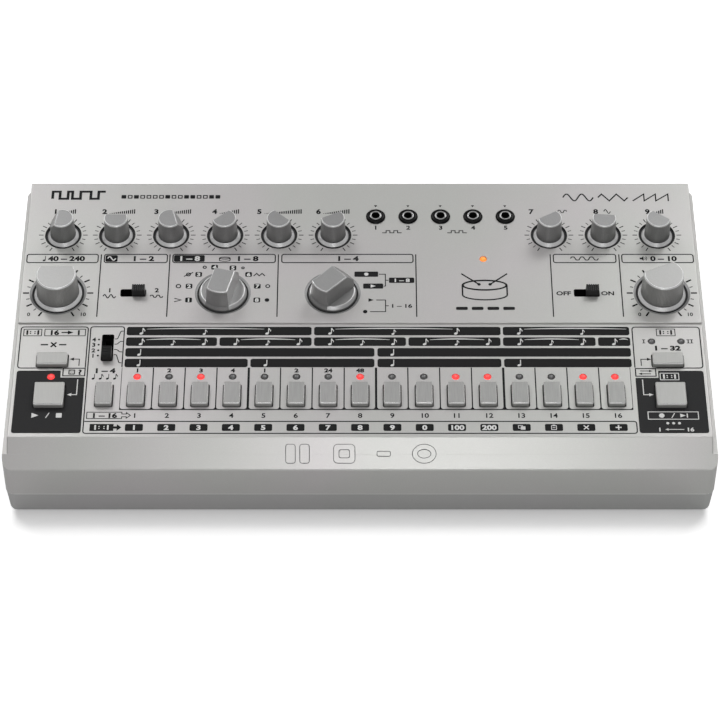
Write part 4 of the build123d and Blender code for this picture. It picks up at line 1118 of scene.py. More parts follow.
class DRUM_OT_knobs(bpy.types.Operator):
    """Knobs and selectors, with the fine ribs round the knobs, lighter crowns and rims (painted highlights) and
    dark root lines (painted shade)
    """

    bl_idname = "drum.knobs"
    bl_label = "Knobs"

    def execute(self, context):
        s = context.scene.drum_knobs
        tree = rib_tree()
        for names, shape, finish, count, width in (
                (LARGE_KNOBS, LARGE, knob_silver(), s.ribs, s.rib_width / MM),
                (SMALL_KNOBS, SMALL, dial_silver(), s.small_ribs, s.small_rib_width / MM)):
            dress(finish, *names)
            for name in names:
                self.ribs(tree, name, shape, finish, count, width)
                self.crown(name, shape)
                self.root(name, shape.root)
        dress(selector_silver(), *SELECTORS)
        for name in SELECTORS:
            moons = bmesh.new()
            for start in RIM_STARTS:
                lathe(moons, 0, 0, RIM_PROFILE, 32, start, RIM_SWEEP)
            # a polished ring on each flange's edge, its lighter colour also a painted highlight
            closed_piece(name + "_rims", moons, plain("polished_rim_highlight"), knob_place(name), 50, name)
        return {"FINISHED"}

    @staticmethod
    def crown(name, shape):
        """A lighter ring round a knob's top edge, a painted highlight on its chamfer, on the part of the turn that
        the pointer facet leaves.
        """
        out, up, cut = shape.radius + 0.16, shape.height + 0.04, shape.cut
        inner, foot = out - cut - 0.14, shape.height - 0.72
        ring = bmesh.new()
        profile = ((inner, shape.height - 0.05), (inner, up), (out - cut, up), (out, up - cut), (out, foot),
                   (out - 0.22, foot))
        lathe(ring, 0, 0, profile, 48, shape.start, shape.sweep)
        closed_piece(name + "_crown", ring, plain("crown_highlight_paint"), knob_place(name), 30, name)

    @staticmethod
    def root(name, radius):
        """A dark ring where a knob's ribs end on its skirt: painted shade."""
        ring = bmesh.new()
        inner, outer = radius - 0.2, radius + 0.12
        lathe(ring, 0, 0, [(inner, 0.9), (inner, 1.12), (radius, 1.12), (outer, 0.98), (outer, 0.9)])
        closed_piece(name + "_root", ring, plain("painted_shade_grey"), knob_place(name), 30, name)

    @staticmethod
    def ribs(tree, name, shape, finish, count, width):
        """One knob's ribs, cut off where the pointer facet runs."""
        (low_radius, low), (top_radius, top) = shape.rib_foot, shape.rib_top
        mesh = grown(tree, {"Count": count, "Low radius": low_radius, "Top radius": top_radius,
                            "Low height": low, "Top height": top, "Width": width, "Depth": width,
                            "Finish": finish})
        bm = bmesh.new()
        bm.from_mesh(mesh)
        bpy.data.meshes.remove(mesh)
        (inner, high), (outer, foot) = shape.facet_in, shape.facet_out
        bmesh.ops.bisect_plane(bm, geom=[*bm.verts, *bm.edges, *bm.faces], plane_co=(0, inner - 0.06, high),
                               plane_no=(0, high - foot, outer - inner), clear_outer=True)
        bmesh.ops.holes_fill(bm, edges=bm.edges)
        bmesh.ops.recalc_face_normals(bm, faces=bm.faces)
        mesh = mesh_of(name, bm)
        mesh.transform(knob_place(name))
        put(name + "_ribs", mesh, name, finish)


class DRUM_OT_wells(bpy.types.Operator):
    """Painted shade: dark rings in the knobs' recesses, darker rings on the chamfers round the large dials and the
    selectors, and dark liners and lips in the holes of keys
    """

    bl_idname = "drum.wells"
    bl_label = "Wells"

    def execute(self, context):
        # painted shade: dark rings on the floor and wall of each knob's recess
        rings, rims, liners = bmesh.new(), bmesh.new(), bmesh.new()
        foot, top = -1.3, -1.22
        for names, radius, edge in ((SMALL_KNOBS, 8.25, -0.12), (LARGE_KNOBS, 11.6, -0.46),
                                    (SELECTORS, 11.4, -0.46)):
            inner, outer, out = radius - 0.1, radius - 0.02, radius + 1.02
            ring = ((6.0, foot), (6.0, top), (inner, top), (inner, edge), (outer, edge), (outer, foot))
            rim = ((radius - 0.04, -0.45), (radius - 0.04, -0.38), (radius + 0.88, 0.03), (out, 0.03),
                   (out, -0.02))
            for spot in map(knob_spot, names):
                lathe(rings, spot.x, spot.y, ring)
                if names is not SMALL_KNOBS:
                    lathe(rims, spot.x, spot.y, rim)
        closed_piece("recess_shade_rings", rings, plain("painted_shade_grey"))
        # painted shade on the chamfers round the large dials and the selectors
        closed_piece("dial_chamfer_shade", rims, plain("chamfer_shade_satin"))
        # painted shade: dark liners down the walls of the keys' and switches' holes, and a dark lip round them
        wall, lip, depth, r = 0.09, 0.16, 2.3, 0.8
        for u, v, half in self.holes():
            level = HIGH if v > LEDGE_V else LOW
            inner, out = grown_oblong(u, v, half, -wall, r), half[0] + lip
            # the dark lip, painted shade round the hole, shows at the back and the sides of a hole, hardly at its
            # front
            outer = oblong(u - out, v - half[1] - 0.02, u + out, v + half[1] + lip, r + 0.1)
            slab(liners, [grown_oblong(u, v, half, 0.0, r), inner], level - depth, level)
            slab(liners, [outer, inner], level, level + INK)
        closed_piece("hole_shade_liners", liners, plain("shade_and_switch_black"), smooth=20)
        return {"FINISHED"}

    @staticmethod
    def holes():
        """Middle and half sizes of each key's and switch's hole."""
        found = [(step_u(number), STEP_V, STEP_HOLE) for number in range(STEPS + 1)]
        for side in (-1, 1):
            found += [(side * SIDE_U, SIDE_KEY_V, SIDE_HOLE), (side * SIDE_U, CLEAR_KEY_V, CLEAR_HOLE),
                      (side * SWITCH_U, ROW_MAIN, SWITCH_HOLE)]
        return found + [(*SCALE_SPOT, SCALE_HOLE)]


class DRUM_OT_buttons(bpy.types.Operator):
    """Step keys, side buttons and the levers of the slide switches"""

    bl_idname = "drum.buttons"
    bl_label = "Buttons"

    def execute(self, context):
        dress(step_grey(), *STEP_BUTTONS, "function_button")
        dress(button_grey(), *SIDE_BUTTONS)
        dress(plain("black_plastic"), "voice_slider", "distortion_slider", "scale_slider")
        return {"FINISHED"}


class DRUM_OT_lamps(bpy.types.Operator):
    """Lamps: lit steps, unlit ones and the power lamp"""

    bl_idname = "drum.lamps"
    bl_label = "Lamps"

    def execute(self, context):
        s = context.scene.drum_lamps
        lit_u = [step_u(number) for number in LIT_STEPS] + [-SIDE_U]

        def lit(point):
            spot = spot_of(point)
            return spot.y < 40 and any(abs(spot.x - u) < 2.5 for u in lit_u)

        def power(point):
            return spot_of(point).y > 90

        split_node("lamps", 40, (
            ("lit_lamps", finish_of("lamp_lit", s.lit, 0.3, glow=s.glow, **LENS), lit),
            ("power_lamp", finish_of("lamp_amber", s.power, 0.3, glow=s.glow * 0.8, **LENS), power),
            ("dark_lamps", finish_of("lamp_dark", s.dark, 0.3, **fine(0.0006, 0.1, 0.02, coat=0.5)),
             lambda point: not lit(point) and not power(point))))
        return {"FINISHED"}


class DRUM_OT_sockets(bpy.types.Operator):
    """Collars of the panel sockets and nuts of the rear ones"""

    bl_idname = "drum.sockets"
    bl_label = "Sockets"

    def execute(self, context):
        split_node("jack_nuts", 35, (
            ("panel_collars", plain("collar_black"), lambda point: spot_of(point).z > -3),
            ("rear_nuts", plain("bright_nickel"), lambda point: spot_of(point).z <= -3)))
        rims = bmesh.new()
        for k in range(JACKS):
            lathe(rims, JACK_U0 + JACK_PITCH * k, ROW_JACK, [
                (1.87, 1.0), (2.66, 1.0), (2.66, 1.1), (2.5, 1.22), (2.05, 1.22), (1.87, 1.12)], 40)
        closed_piece("socket_rims", rims, plain("mouth_metal"), smooth=50)
        return {"FINISHED"}


# ---------------------------------------------------------------- rear field
HEADER_LOW, HEADER_HIGH, HEADER_V = 98.4, 103.9, 101.15
# left and right end of each header, and where its dark part ends
HEADERS = ((-149.5, -117.1, 0), (-114.8, -86.1, -108.6), (-84.1, -37.7, -69.6), (-35.3, 24.0, 0),
           (86.4, 114.9, 0), (117.1, 149.6, 0))
HEADER_WORDS = ((-131.5, "40 – 240", 1.2), (-97.2, "1 – 2", 1.25), (-50.5, "1 – 8", 1.25),
                (-5.6, "1 – 4", 1.25), (136.0, "0 – 10", 1.2))
RULES_U = (-116.0, -85.2, -36.6, 25.0, 85.3, 116.1)
KNOB_LABELS = ((-139.5, -128.7), (-117.2, -101.8), (-93.7, -76.4), (-67.2, -54.6), (-46.9, -26.1),
               (-20.1, -4.4), (76.5, 93.8), (105.9, 113.5), (129.4, 138.2))
VOICE_BOXES = ((-75.9, 76.5), (-76.0, 84.65), (-71.95, 91.6), (-65.0, 95.9), (-56.8, 95.5), (-49.7, 91.6),
               (-45.65, 84.65), (-45.7, 76.5))
VOICE_SIGNS = ((-80.7, 76.5), (-80.7, 84.65), (-76.5, 91.6), (-69.4, 95.9), (-52.3, 95.5), (-44.9, 91.6),
               (-41.0, 84.65), (-41.2, 76.5))
MODE_BOXES = ((-2.5, 90.2, 8.1, 93.3), (1.4, 83.2, 10.3, 86.2), (12.9, 86.6, 24.15, 89.7))
MODE_LINES = (((8.4, 91.75), (11.3, 91.75), (11.3, 84.7), (10.5, 84.7)), ((11.3, 88.15), (12.7, 88.15)),
              ((7.2, 76.5), (11.3, 76.5), (11.3, 69.7), (4.4, 69.7)), ((11.3, 73.1), (12.7, 73.1)))
PULSES_U, PULSE_LOW, PULSE_HIGH = (-137.0, -133.3, -131.3, -127.6, -122.9, -119.4, -116.2), 137.7, 142.1
TITLE_WAVES = (
    ((108.6, 138.5), (110.3, 140.6), (113.7, 136.4), (117.1, 140.6), (120.5, 136.4), (122.2, 138.5)),
    ((124.4, 136.4), (129.6, 140.6), (129.6, 136.4), (134.9, 140.6), (134.9, 136.4), (140.6, 140.6),
     (140.6, 136.2)))
# a trigger's step about its socket pair, as u from the middle and v
TRIGGER = ((-4.4, 116.7), (-2.6, 116.7), (-2.6, 118.0), (-0.9, 118.0), (-0.9, 116.7), (0.9, 116.7),
           (0.9, 118.0), (2.6, 118.0), (2.6, 116.7), (4.4, 116.7))
THIN, FRAME = 0.42, 0.38  # widths of a thin line and of a small frame's line


class DRUM_OT_rear_print(bpy.types.Operator):
    """Printing of the rear field: headers, rules, scales' numbers and signs"""

    bl_idname = "drum.rear_print"
    bl_label = "Rear printing"

    def execute(self, context):
        dark, pale = Artwork(HIGH), Artwork(HIGH, pale=True)
        self.headers(dark, pale)
        self.titles(dark)
        self.knob_labels(dark)
        self.sockets(dark)
        self.voices(dark, pale)
        self.modes(dark, pale)
        for u, words in ((-146.1, "0"), (-122.2, "10"), (123.3, "0"), (145.4, "10")):
            dark.text(words, u, 68.2, 2.0, bold=0.03)
        for u, words, clip in ((-111.1, "1", 1.0), (-90.2, "2", 0.62)):
            dark.text(words, u, 82.3, 2.4, bold=0.05, stretch=1.15)
            wave(dark, u, 78.7, 5.6, 2.0, 0.5, clip=clip, turns=2)
        for u, words in ((90.3, "OFF"), (109.9, "ON")):
            dark.text(words, u, 80.5, 2.3, bold=0.05, stretch=1.18)
        dark.piece("rear_print_dark", ink())
        pale.piece("rear_print_pale", pale_ink())
        return {"FINISHED"}

    @staticmethod
    def headers(dark, pale):
        inset = 0.75
        for u0, u1, cut in HEADERS:
            dark.border(u0, HEADER_LOW, u1, HEADER_HIGH)
            if cut:
                dark.box(u0 + inset, HEADER_LOW + inset, cut, HEADER_HIGH - inset, 0.7)
        for u in RULES_U:
            dark.line([(u, 66.7), (u, 103.6)])
        for u, words, stretch in HEADER_WORDS:
            dark.text(words, u, HEADER_V, 2.8, bold=0.11, stretch=stretch)
        note(dark, -141.5, 100.0, 3.0, flag=False)
        wave(pale, -111.3, HEADER_V, 3.6, 2.1, 0.5)
        pale.text("1 – 8", -76.5, HEADER_V, 2.7, bold=0.1, stretch=1.25)
        drum_sign(dark, -60.6, 101.1, 5.2, 3.6, THIN, sticks=False)
        wave(dark, 100.6, HEADER_V, 12.5, 2.7, 0.5, clip=0.68, turns=3)
        speaker(dark, 126.8, HEADER_V, 2.9)

    @staticmethod
    def titles(dark):
        train = [(-140.3, PULSE_LOW)]
        for k, u in enumerate(PULSES_U):
            v = PULSE_LOW if k % 2 else PULSE_HIGH
            train += [(train[-1][0], v), (u, v)]
        dark.line(train, 1.25)
        for k in range(STEPS):
            u = -107.8 + 2.86 * k
            mark = dark.box if k + 1 in LIT_STEPS else dark.border
            mark(u - 1.1, 137.8, u + 1.1, 140.0, 0.3)
        wave(dark, 99.5, 138.5, 13.8, 4.2, 0.65, turns=2)
        for points in TITLE_WAVES:
            dark.line(points, 0.65)

    @staticmethod
    def knob_labels(dark):
        v = 129.8
        for number, (u0, u1) in enumerate(KNOB_LABELS, 1):
            dark.text(str(number), u0 + 1.2, v, 2.8, bold=0.1, stretch=1.1)
            if number == 7:
                wave(dark, u1 - 1.9, v, 4.0, 2.4, clip=0.6, turns=1.5)
            elif number == 8:
                wave(dark, u1 - 1.2, v, 3.0, 2.4)
            else:
                wide = u1 - u0 - 3.4
                wedge(dark, u1 - wide / 2, v, wide, 2.7, max(4, round(wide / 0.95)))

    @staticmethod
    def sockets(dark):
        for k in range(JACKS):
            u = JACK_U0 + JACK_PITCH * k
            dark.fill([(u, 132.4), (u + 0.7, 133.6), (u - 0.7, 133.6)])
            dark.text(str(k + 1), u, 119.9, 2.3, bold=0.06, stretch=1.15)
        for u in (14.4, 43.85):
            dark.line([(u + x, v) for x, v in TRIGGER], 0.44)
        drum_sign(dark, 55.4, 84.0, 20.5, 15.5, 0.7)
        for k in range(4):
            u = 45.0 + 6.95 * k
            dark.box(u - 2.6, 70.7, u + 2.6, 72.5, 0.6)

    @staticmethod
    def voices(dark, pale):
        for number, (u, v) in enumerate(VOICE_BOXES, 1):
            dark.box(u - 1.5, v - 1.4, u + 1.5, v + 1.4, 0.6)
            pale.text(str(number), u, v, 2.0, bold=0.06, stretch=1.2)
        line = 0.5
        u, v = VOICE_SIGNS[0]
        dark.line([(u - 1.5, v + 1.0), (u + 1.5, v), (u - 1.5, v - 1.0)], line)
        for place, r in ((1, 1.25), (2, 1.1), (3, 0.95), (4, 0.8), (6, 1.1)):
            dark.ring(*VOICE_SIGNS[place], r, line)
        u, v = VOICE_SIGNS[2]
        dark.line([(u - 2.0, v - 1.2), (u + 2.0, v + 1.2)], line)
        u, v = VOICE_SIGNS[5]
        for x in (u - 1.2, u + 1.2):
            dark.line([(x - 1.3, v - 0.9), (x, v + 0.6), (x + 1.3, v - 0.9)], line)
        dark.dot(*VOICE_SIGNS[7], 1.05)

    @staticmethod
    def modes(dark, pale):
        for box in MODE_BOXES:
            dark.box(*box, 0.5)
        pale.dot(2.8, 91.75, 0.95)
        arrow(pale, 5.85, 84.7, 2.2)
        pale.text("1 – 8", 18.5, 88.15, 2.0, bold=0.05, stretch=1.3)
        arrow(dark, 4.9, 76.5, 2.3)
        dark.dot(2.3, 69.7, 1.0)
        dark.text("1 – 16", 18.3, 73.1, 2.1, bold=0.04, stretch=1.3)
        for points in MODE_LINES:
            dark.line(points, THIN)


# ---------------------------------------------------------------- front field
# low and high edge of each dark band, then its parts from left to right
BANDS = (((56.7, 61.55), (-102.4, -21.25), (-20.15, 61.7), (62.7, 118.2)),
         ((50.6, 55.5), (-102.4, -62.6), (-61.5, -21.2), (-20.1, 20.1), (21.2, 61.5), (62.6, 103.1),
          (104.2, 118.3)),
         ((44.5, 49.4), (-102.4, 6.3), (7.6, 118.2)),
         ((38.5, 43.3), (-102.4, -48.85), (-47.7, 6.3), (7.6, 61.5), (62.7, 118.15)))
# for each row of triplets: its height, how far its last bow runs, and the steps of its groups
TRIPLETS = ((57.7, 47.9, ((1, 3, 5), (7, 9, 11), (13, 15))),
            (51.6, 6.9, ((1, 2, 3), (4, 5, 6), (7, 8, 9), (10, 11, 12), (13, 14, 15), (16,))))
PLAIN_NOTES = ((45.6, (1, 9)), (39.6, (1, 5, 9, 13)))
QUARTERS = (5, 9, 13)  # the steps that start a quarter bar after the first
CELL_LABELS = ("1", "2", "3", "4", "1", "2", "24", "48")
BAR_LABELS = ("1", "2", "3", "4", "5", "6", "7", "8", "9", "0", "100", "200")
SCALE_LINE = ((-103.45, 38.6), (-103.45, 61.6), (-118.25, 61.6), (-118.25, 1.9), (118.3, 1.9), (118.3, 8.4),
              (-117.9, 8.4))
STEP_ARROW = ((-117.3, 9.75), (-101.9, 9.75), (-101.9, 10.75), (-100.3, 10.75), (-100.3, 9.75), (-98.1, 11.7),
              (-100.3, 13.65), (-100.3, 12.65), (-101.9, 12.65), (-101.9, 13.65), (-117.3, 13.65))
BAR_ARROW = ((-115.5, 3.2), (-105.3, 3.2), (-105.3, 4.5), (-103.9, 4.5), (-103.9, 3.3), (-101.9, 5.1),
             (-103.9, 6.9), (-103.9, 5.7), (-105.3, 5.7), (-105.3, 7.0), (-115.5, 7.0))
# an upright cross about its step, as u from the middle and v
CROSS = ((-1.3, 4.8), (-0.3, 4.8), (-0.3, 3.8), (0.3, 3.8), (0.3, 4.8), (1.3, 4.8), (1.3, 5.4), (0.3, 5.4),
         (0.3, 6.4), (-0.3, 6.4), (-0.3, 5.4), (-1.3, 5.4))
# the clear field's line, the start field and the radii of its corners
LEFT_LINE = ((-129.2, 38.05), (-148.8, 38.05), (-148.8, 61.5), (-119.35, 61.5), (-119.35, 38.3))
LEFT_FIELD = ((-148.9, 2.0), (-119.2, 2.0), (-119.2, 32.7), (-129.8, 32.7), (-129.8, 36.6), (-148.9, 36.6))
LEFT_RADII = (1.3, 1.3, 0.4, 0.3, 0.4, 1.3)
# the group field's line, the write field and the radii of its corners
RIGHT_LINE = ((128.7, 38.05), (149.0, 38.05), (149.0, 61.4), (119.45, 61.4), (119.45, 38.3))
RIGHT_FIELD = ((119.3, 2.0), (149.0, 2.0), (149.0, 36.5), (129.3, 36.5), (129.3, 32.5), (119.3, 32.5))
RIGHT_RADII = (1.3, 1.3, 1.3, 0.4, 0.3, 0.4)
DARK_FRAMES = ((-147.7, 56.2, -139.5, 60.4), (-138.5, 56.2, -120.3, 60.4), (129.9, 56.2, 138.4, 60.5))
PALE_FRAMES = ((129.9, 31.2, 138.3, 35.3), (123.3, 9.4, 145.2, 13.8))
BORDER_LABELS = ((-129.1, 33.4, -119.1, 38.2), (119.3, 33.2, 128.6, 38.0))
# lines from a border label to a key, where the arrow's head stands and which way it points
DARK_POINTERS = ((((-122.2, 39.3), (-122.2, 43.1), (-124.8, 43.1)), -125.5, 180),
                 (((122.3, 39.3), (122.3, 43.0), (125.1, 43.0)), 125.9, 0))
PALE_POINTERS = ((((-122.2, 31.6), (-122.2, 23.15), (-124.7, 23.15)), -125.4, 180),
                 (((122.3, 31.5), (122.3, 23.1), (124.8, 23.1)), 125.6, 0))
DICE = ((-0.55, -0.55), (0.55, 0.55), (0, 0), (-0.55, 0.55), (0.55, -0.55))


def crossed(art, u, v, reach, gap, width):
    """A cross whose falling stroke is cut where the rising one runs; reach and gap are pairs."""
    (x, y), (near_x, near_y) = reach, gap
    art.line([(u - x, v - y), (u + x, v + y)], width)
    art.line([(u - x, v + y), (u - near_x, v + near_y)], width)
    art.line([(u + near_x, v - near_y), (u + x, v - y)], width)


class DRUM_OT_front_print(bpy.types.Operator):
    """Printing of the front field: bands of notes, step cells, side fields and labels"""

    bl_idname = "drum.front_print"
    bl_label = "Front printing"

    def execute(self, context):
        dark, pale, field = Artwork(LOW), Artwork(LOW, pale=True), Artwork(LOW)
        self.bands(dark, pale)
        self.cells(dark)
        self.scale_switch(dark)
        self.foot(dark, pale)
        self.sides(dark, pale, field)
        self.left_side(dark, pale)
        self.right_side(dark, pale)
        dark.piece("front_print_dark", ink())
        pale.piece("front_print_pale", pale_ink())
        field.piece("side_fields", plain("field_ink"))
        mesh = grown(plate_tree(), {"Count": STEPS, "Pitch": STEP_PITCH, "Width": 7.7, "Height": 3.8,
                                    "Corner": 0.7, "Thickness": INK, "Finish": ink()})
        mesh.transform(PANEL @ Matrix.Translation((STEP_U0, 5.1, LOW)))
        put("bar_plates", mesh, "casing", ink())
        return {"FINISHED"}

    @staticmethod
    def bands(dark, pale):
        for (low, high), *spans in BANDS:
            for u0, u1 in spans:
                dark.box(u0, low, u1, high, 1.1)
        for row, run, groups in TRIPLETS:
            for group in groups:
                for place, number in enumerate(group):
                    low, size = (0.25, 2.9) if place == 1 else (0.0, 3.6)
                    note(pale, step_u(number) + 0.6, row - low, size)
                first = step_u(group[0])
                last = step_u(group[-1]) - 0.8 if len(group) == 3 else min(118.0, first + run)
                slur(pale, first + 3.0, last, row + 2.6, 0.65)
        for row, numbers in PLAIN_NOTES:
            for number in numbers:
                note(pale, step_u(number) + 0.2, row, 3.6, flag=False)

    @staticmethod
    def cells(dark):
        thin, thick, r = rule() / 2, 0.5, 1.2
        low, top = 14.95, 38.3
        for number in range(1, STEPS + 1):
            middle = step_u(number)
            u0, u1 = middle - STEP_PITCH / 2, middle + STEP_PITCH / 2
            left = u0 + (thick if number in QUARTERS else thin)
            right = u1 - (thick if number + 1 in QUARTERS else thin)
            floor = low + thin + r
            dark.fill([(u0, top), (u0, low - thin), (u1, low - thin), (u1, top), (right, top),
                       *arc(right - r, floor, r, 0, -90, 5), *arc(left + r, floor, r, -90, -180, 5),
                       (left, top)])
            dark.text(str(number), middle, 11.7, 2.5, bold=0.03, stretch=1.12)
        for number, words in enumerate(CELL_LABELS, 1):
            dark.text(words, step_u(number), 36.75, 2.1, bold=0.08, stretch=1.2)

    @staticmethod
    def scale_switch(dark):
        dark.line(bent(SCALE_LINE, 1.3))
        for place, v in enumerate((45.1, 48.1, 51.3, 54.3), 1):
            dark.dot(-114.3, v, 0.5, count=12)
            dark.text(str(place), -116.4, v, 2.15, bold=0.06, stretch=1.1)
        for v0, v1 in ((54.6, 59.1), (51.6, 53.2), (48.6, 47.2), (45.6, 41.0)):
            dark.line(bent([(-107.4, v0), (-106.2, v0), (-104.9, v1), (-103.8, v1)], 0.5), THIN)
        dark.text("1 – 4", -110.8, 36.6, 2.6, bold=0.12, stretch=1.25)
        for k, flag in enumerate((False, True, False, True)):
            note(dark, -115.6 + 3.1 * k, 32.1, 3.0, flag=flag)

    @staticmethod
    def foot(dark, pale):
        dark.framed(STEP_ARROW, FRAME, 0.25)
        dark.text("1 – 16", -109.6, 11.7, 2.5, bold=0.11, stretch=1.25)
        dark.fill(BAR_ARROW)
        loop_sign(pale, -110.4, 5.1, 5.4, 2.6, 0.36)
        for number, words in enumerate(BAR_LABELS, 1):
            pale.text(words, step_u(number), 5.1, 2.5, bold=0.09, stretch=1.2)
        copy, paste, clear, add = map(step_u, range(13, 17))
        pale.border(copy - 1.5, 4.5, copy + 0.5, 6.3, 0.2, 0.3)
        pale.box(copy - 0.4, 3.9, copy + 1.6, 5.7, 0.2)
        pale.border(paste - 1.2, 3.8, paste + 1.2, 6.2, 0.25, 0.3)
        pale.box(paste - 0.55, 5.8, paste + 0.55, 6.55, 0.15)
        pale.line([(paste - 0.6, 5.0), (paste + 0.6, 5.0)], 0.3)
        crossed(pale, clear, 5.1, (1.05, 1.05), (0.2, 0.2), 0.5)
        pale.fill([(add + x, v) for x, v in CROSS])

    @staticmethod
    def sides(dark, pale, field):
        """What both sides have: the upper field's line, the lower dark field, frames and pointers."""
        lamp = disc(-SIDE_U, LED_V, 1.7, 24)
        for side, line, outline, radii, holes in ((-1, LEFT_LINE, LEFT_FIELD, LEFT_RADII, [lamp]),
                                                  (1, RIGHT_LINE, RIGHT_FIELD, RIGHT_RADII, [])):
            dark.line(bent(line, 1.5))
            key = grown_oblong(side * SIDE_U, SIDE_KEY_V, SIDE_HOLE, 0.0, 0.8)
            field.fill(rounded(outline, radii), key, *holes)
        for frame_at in BORDER_LABELS:
            dark.frame_box(*frame_at, rule())
        for art, frames, pointers in ((dark, DARK_FRAMES, DARK_POINTERS), (pale, PALE_FRAMES, PALE_POINTERS)):
            for frame_at in frames:
                art.frame_box(*frame_at)
            for points, tip, turn in pointers:
                art.line(points, THIN)
                arrow(art, tip, points[-1][1], 1.9, turn)

    @staticmethod
    def left_side(dark, pale):
        dark.border(-126.5, 34.4, -123.6, 37.2, 0.4, 0.48)
        for x, y in DICE:
            dark.dot(-125.0 + x, 35.8 + y, 0.22, count=8)
        dark.text("?", -121.5, 35.8, 2.8, bold=0.11, stretch=1.2)
        v = 58.3
        loop_sign(dark, -143.6, v, 4.8, 2.6, 0.42)
        for u, words in ((-134.2, "16"), (-123.4, "1")):
            dark.text(words, u, v, 2.6, bold=0.12, stretch=1.2)
        dark.line([(-131.0, v), (-127.9, v)], 0.6)
        arrow(dark, -127.0, v, 2.4)
        u, v = -134.0, 51.3
        crossed(dark, u, v, (1.2, 1.3), (0.25, 0.3), 0.72)
        for side in (-1, 1):
            dark.line([(u + side * 2.4, v), (u + side * 5.6, v)], 0.7)
        arrow(pale, -139.3, 11.7, 3.0)
        pale.line([(-134.7, 10.3), (-133.3, 13.1)], FRAME)
        pale.box(-130.3, 10.45, -127.8, 12.95, 0.2)

    @staticmethod
    def right_side(dark, pale):
        for v, tip, turn in ((36.4, 126.2, 0), (34.8, 121.6, 180)):
            dark.line([(121.6, v), (126.2, v)], 0.4)
            arrow(dark, tip, v, 1.5, turn)
        loop_sign(dark, 134.15, 58.35, 4.8, 2.6, 0.42)
        # numerals one and two as upright bars with serifs
        low, high = 52.1, 54.3
        for middle in (124.2, 143.65, 145.15):
            left, right = middle - 0.24, middle + 0.24
            dark.plate(left, low, right, high)
            for foot in (low, high - 0.3):
                dark.plate(left - 0.44, foot, left, foot + 0.3)
                dark.plate(right, foot, right + 0.44, foot + 0.3)
        dark.text("1 – 32", 134.1, 49.4, 2.6, bold=0.12, stretch=1.3)
        loop_sign(pale, 134.1, 33.25, 4.8, 2.5, 0.4)
        v = 11.6
        pale.dot(129.3, v, 1.2)
        pale.line([(133.5, v - 1.3), (134.9, v + 1.3)], FRAME)
        arrow(pale, 138.4, v, 2.3)
        pale.plate(140.0, v - 1.1, 140.5, v + 1.1)
        for k in range(3):
            pale.dot(131.6 + 2.5 * k, 7.4, 0.65)
        v = 4.0
        for u, words in ((128.0, "1"), (141.0, "16")):
            pale.text(words, u, v, 2.0, bold=0.05, stretch=1.2)
        pale.line([(131.2, v), (138.4, v)], 0.34)
        arrow(pale, 131.0, v, 1.4, 180)


# ---------------------------------------------------------------- back
# from a sign's own millimetres, seen from behind, to the model
BEHIND = Matrix(((-1, 0, 0, 0), (0, 0, 1, 0), (0, 1, 0, 0), (0, 0, 0, 1))) @ Matrix.Scale(MM, 4)
ROCKER_LEAN = math.atan2(1.01, 6.15)  # how far each half of the rocker's face leans
ROCKER_TURN, ROCKER_REACH = 9, 3.0  # degrees from the pin's own way, and millimetres from the pin to the face


class DRUM_OT_back_print(bpy.types.Operator):
    """Printing of the plate round the rear sockets, and the marks of the power rocker"""

    bl_idname = "drum.back_print"
    bl_label = "Back printing"

    def execute(self, context):
        self.signs()
        face = Matrix.Translation(Vector(JOINTS["power_rocker"]["pos_m"]))
        face @= Matrix.Rotation(math.radians(ROCKER_TURN), 4, "X") @ BEHIND
        face @= Matrix.Translation((0, 0, ROCKER_REACH))
        on, off = Artwork(0.0), Artwork(0.0)
        on.box(-0.25, 2.3, 0.25, 4.9, 0.1)
        off.ring(0, -3.6, 1.35, 0.45, 24)
        for name, mark, turn in (("rocker_on_mark", on, ROCKER_LEAN), ("rocker_off_mark", off, -ROCKER_LEAN)):
            mark.piece(name, pale_ink(), face @ Matrix.Rotation(turn, 4, "X"), "power_rocker")
        return {"FINISHED"}

    @staticmethod
    def signs():
        along = {name: -point.x / MM for name, point in MOUNTS.items()}
        signs = Artwork(0.0)
        for k in range(1, 9):
            signs.text(str(k), along["voice_out_%d_socket" % k], 7.0, 2.2, bold=0.04, stretch=1.15)
        speaker(signs, along["mix_out_socket"] + 10.6, 0.0, 3.4)
        entry, onward = along["midi_in_socket"], along["midi_thru_socket"]
        middle = (entry + onward) / 2
        signs.dot(middle - 2.2, 0.0, 0.7)
        # a shaft ends where its arrow's head begins
        for u, shaft, head in ((entry - 14.6, 2.43, 3.4), (middle - 1.48, 2.01, 2.98)):
            signs.line([(u, 0.0), (u + shaft, 0.0)], 0.4)
            arrow(signs, u + head, 0.0, 1.9)
        supply, v, line = along["dc_in_socket"], 7.4, 0.32
        signs.dot(supply, v, 0.5, count=14)
        signs.line(arc(supply, v, 1.15, 50, 310, 14), line)
        for u0, u1 in ((-3.3, -1.33), (0.52, 2.6)):
            signs.line([(supply + u0, v), (supply + u1, v)], line)
        level = Vector((0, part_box("rear_plate")[1][1], MOUNTS["mix_out_socket"].z))
        signs.piece("back_print", pale_ink(), Matrix.Translation(level) @ BEHIND)


# ---------------------------------------------------------------- ticks and bevel
DIAL = {"Count": 21, "Sweep": math.radians(300), "Long every": 2, "Thickness": INK}
SMALL_TICKS = {"Inner radius": 8.9, "Long tick": 2.1, "Short tick": 1.6, "Line": 0.34, "Long line": 0.42}
LARGE_TICKS = {"Inner radius": 12.9, "Long tick": 2.7, "Short tick": 1.5, "Line": 0.42, "Long line": 0.78}


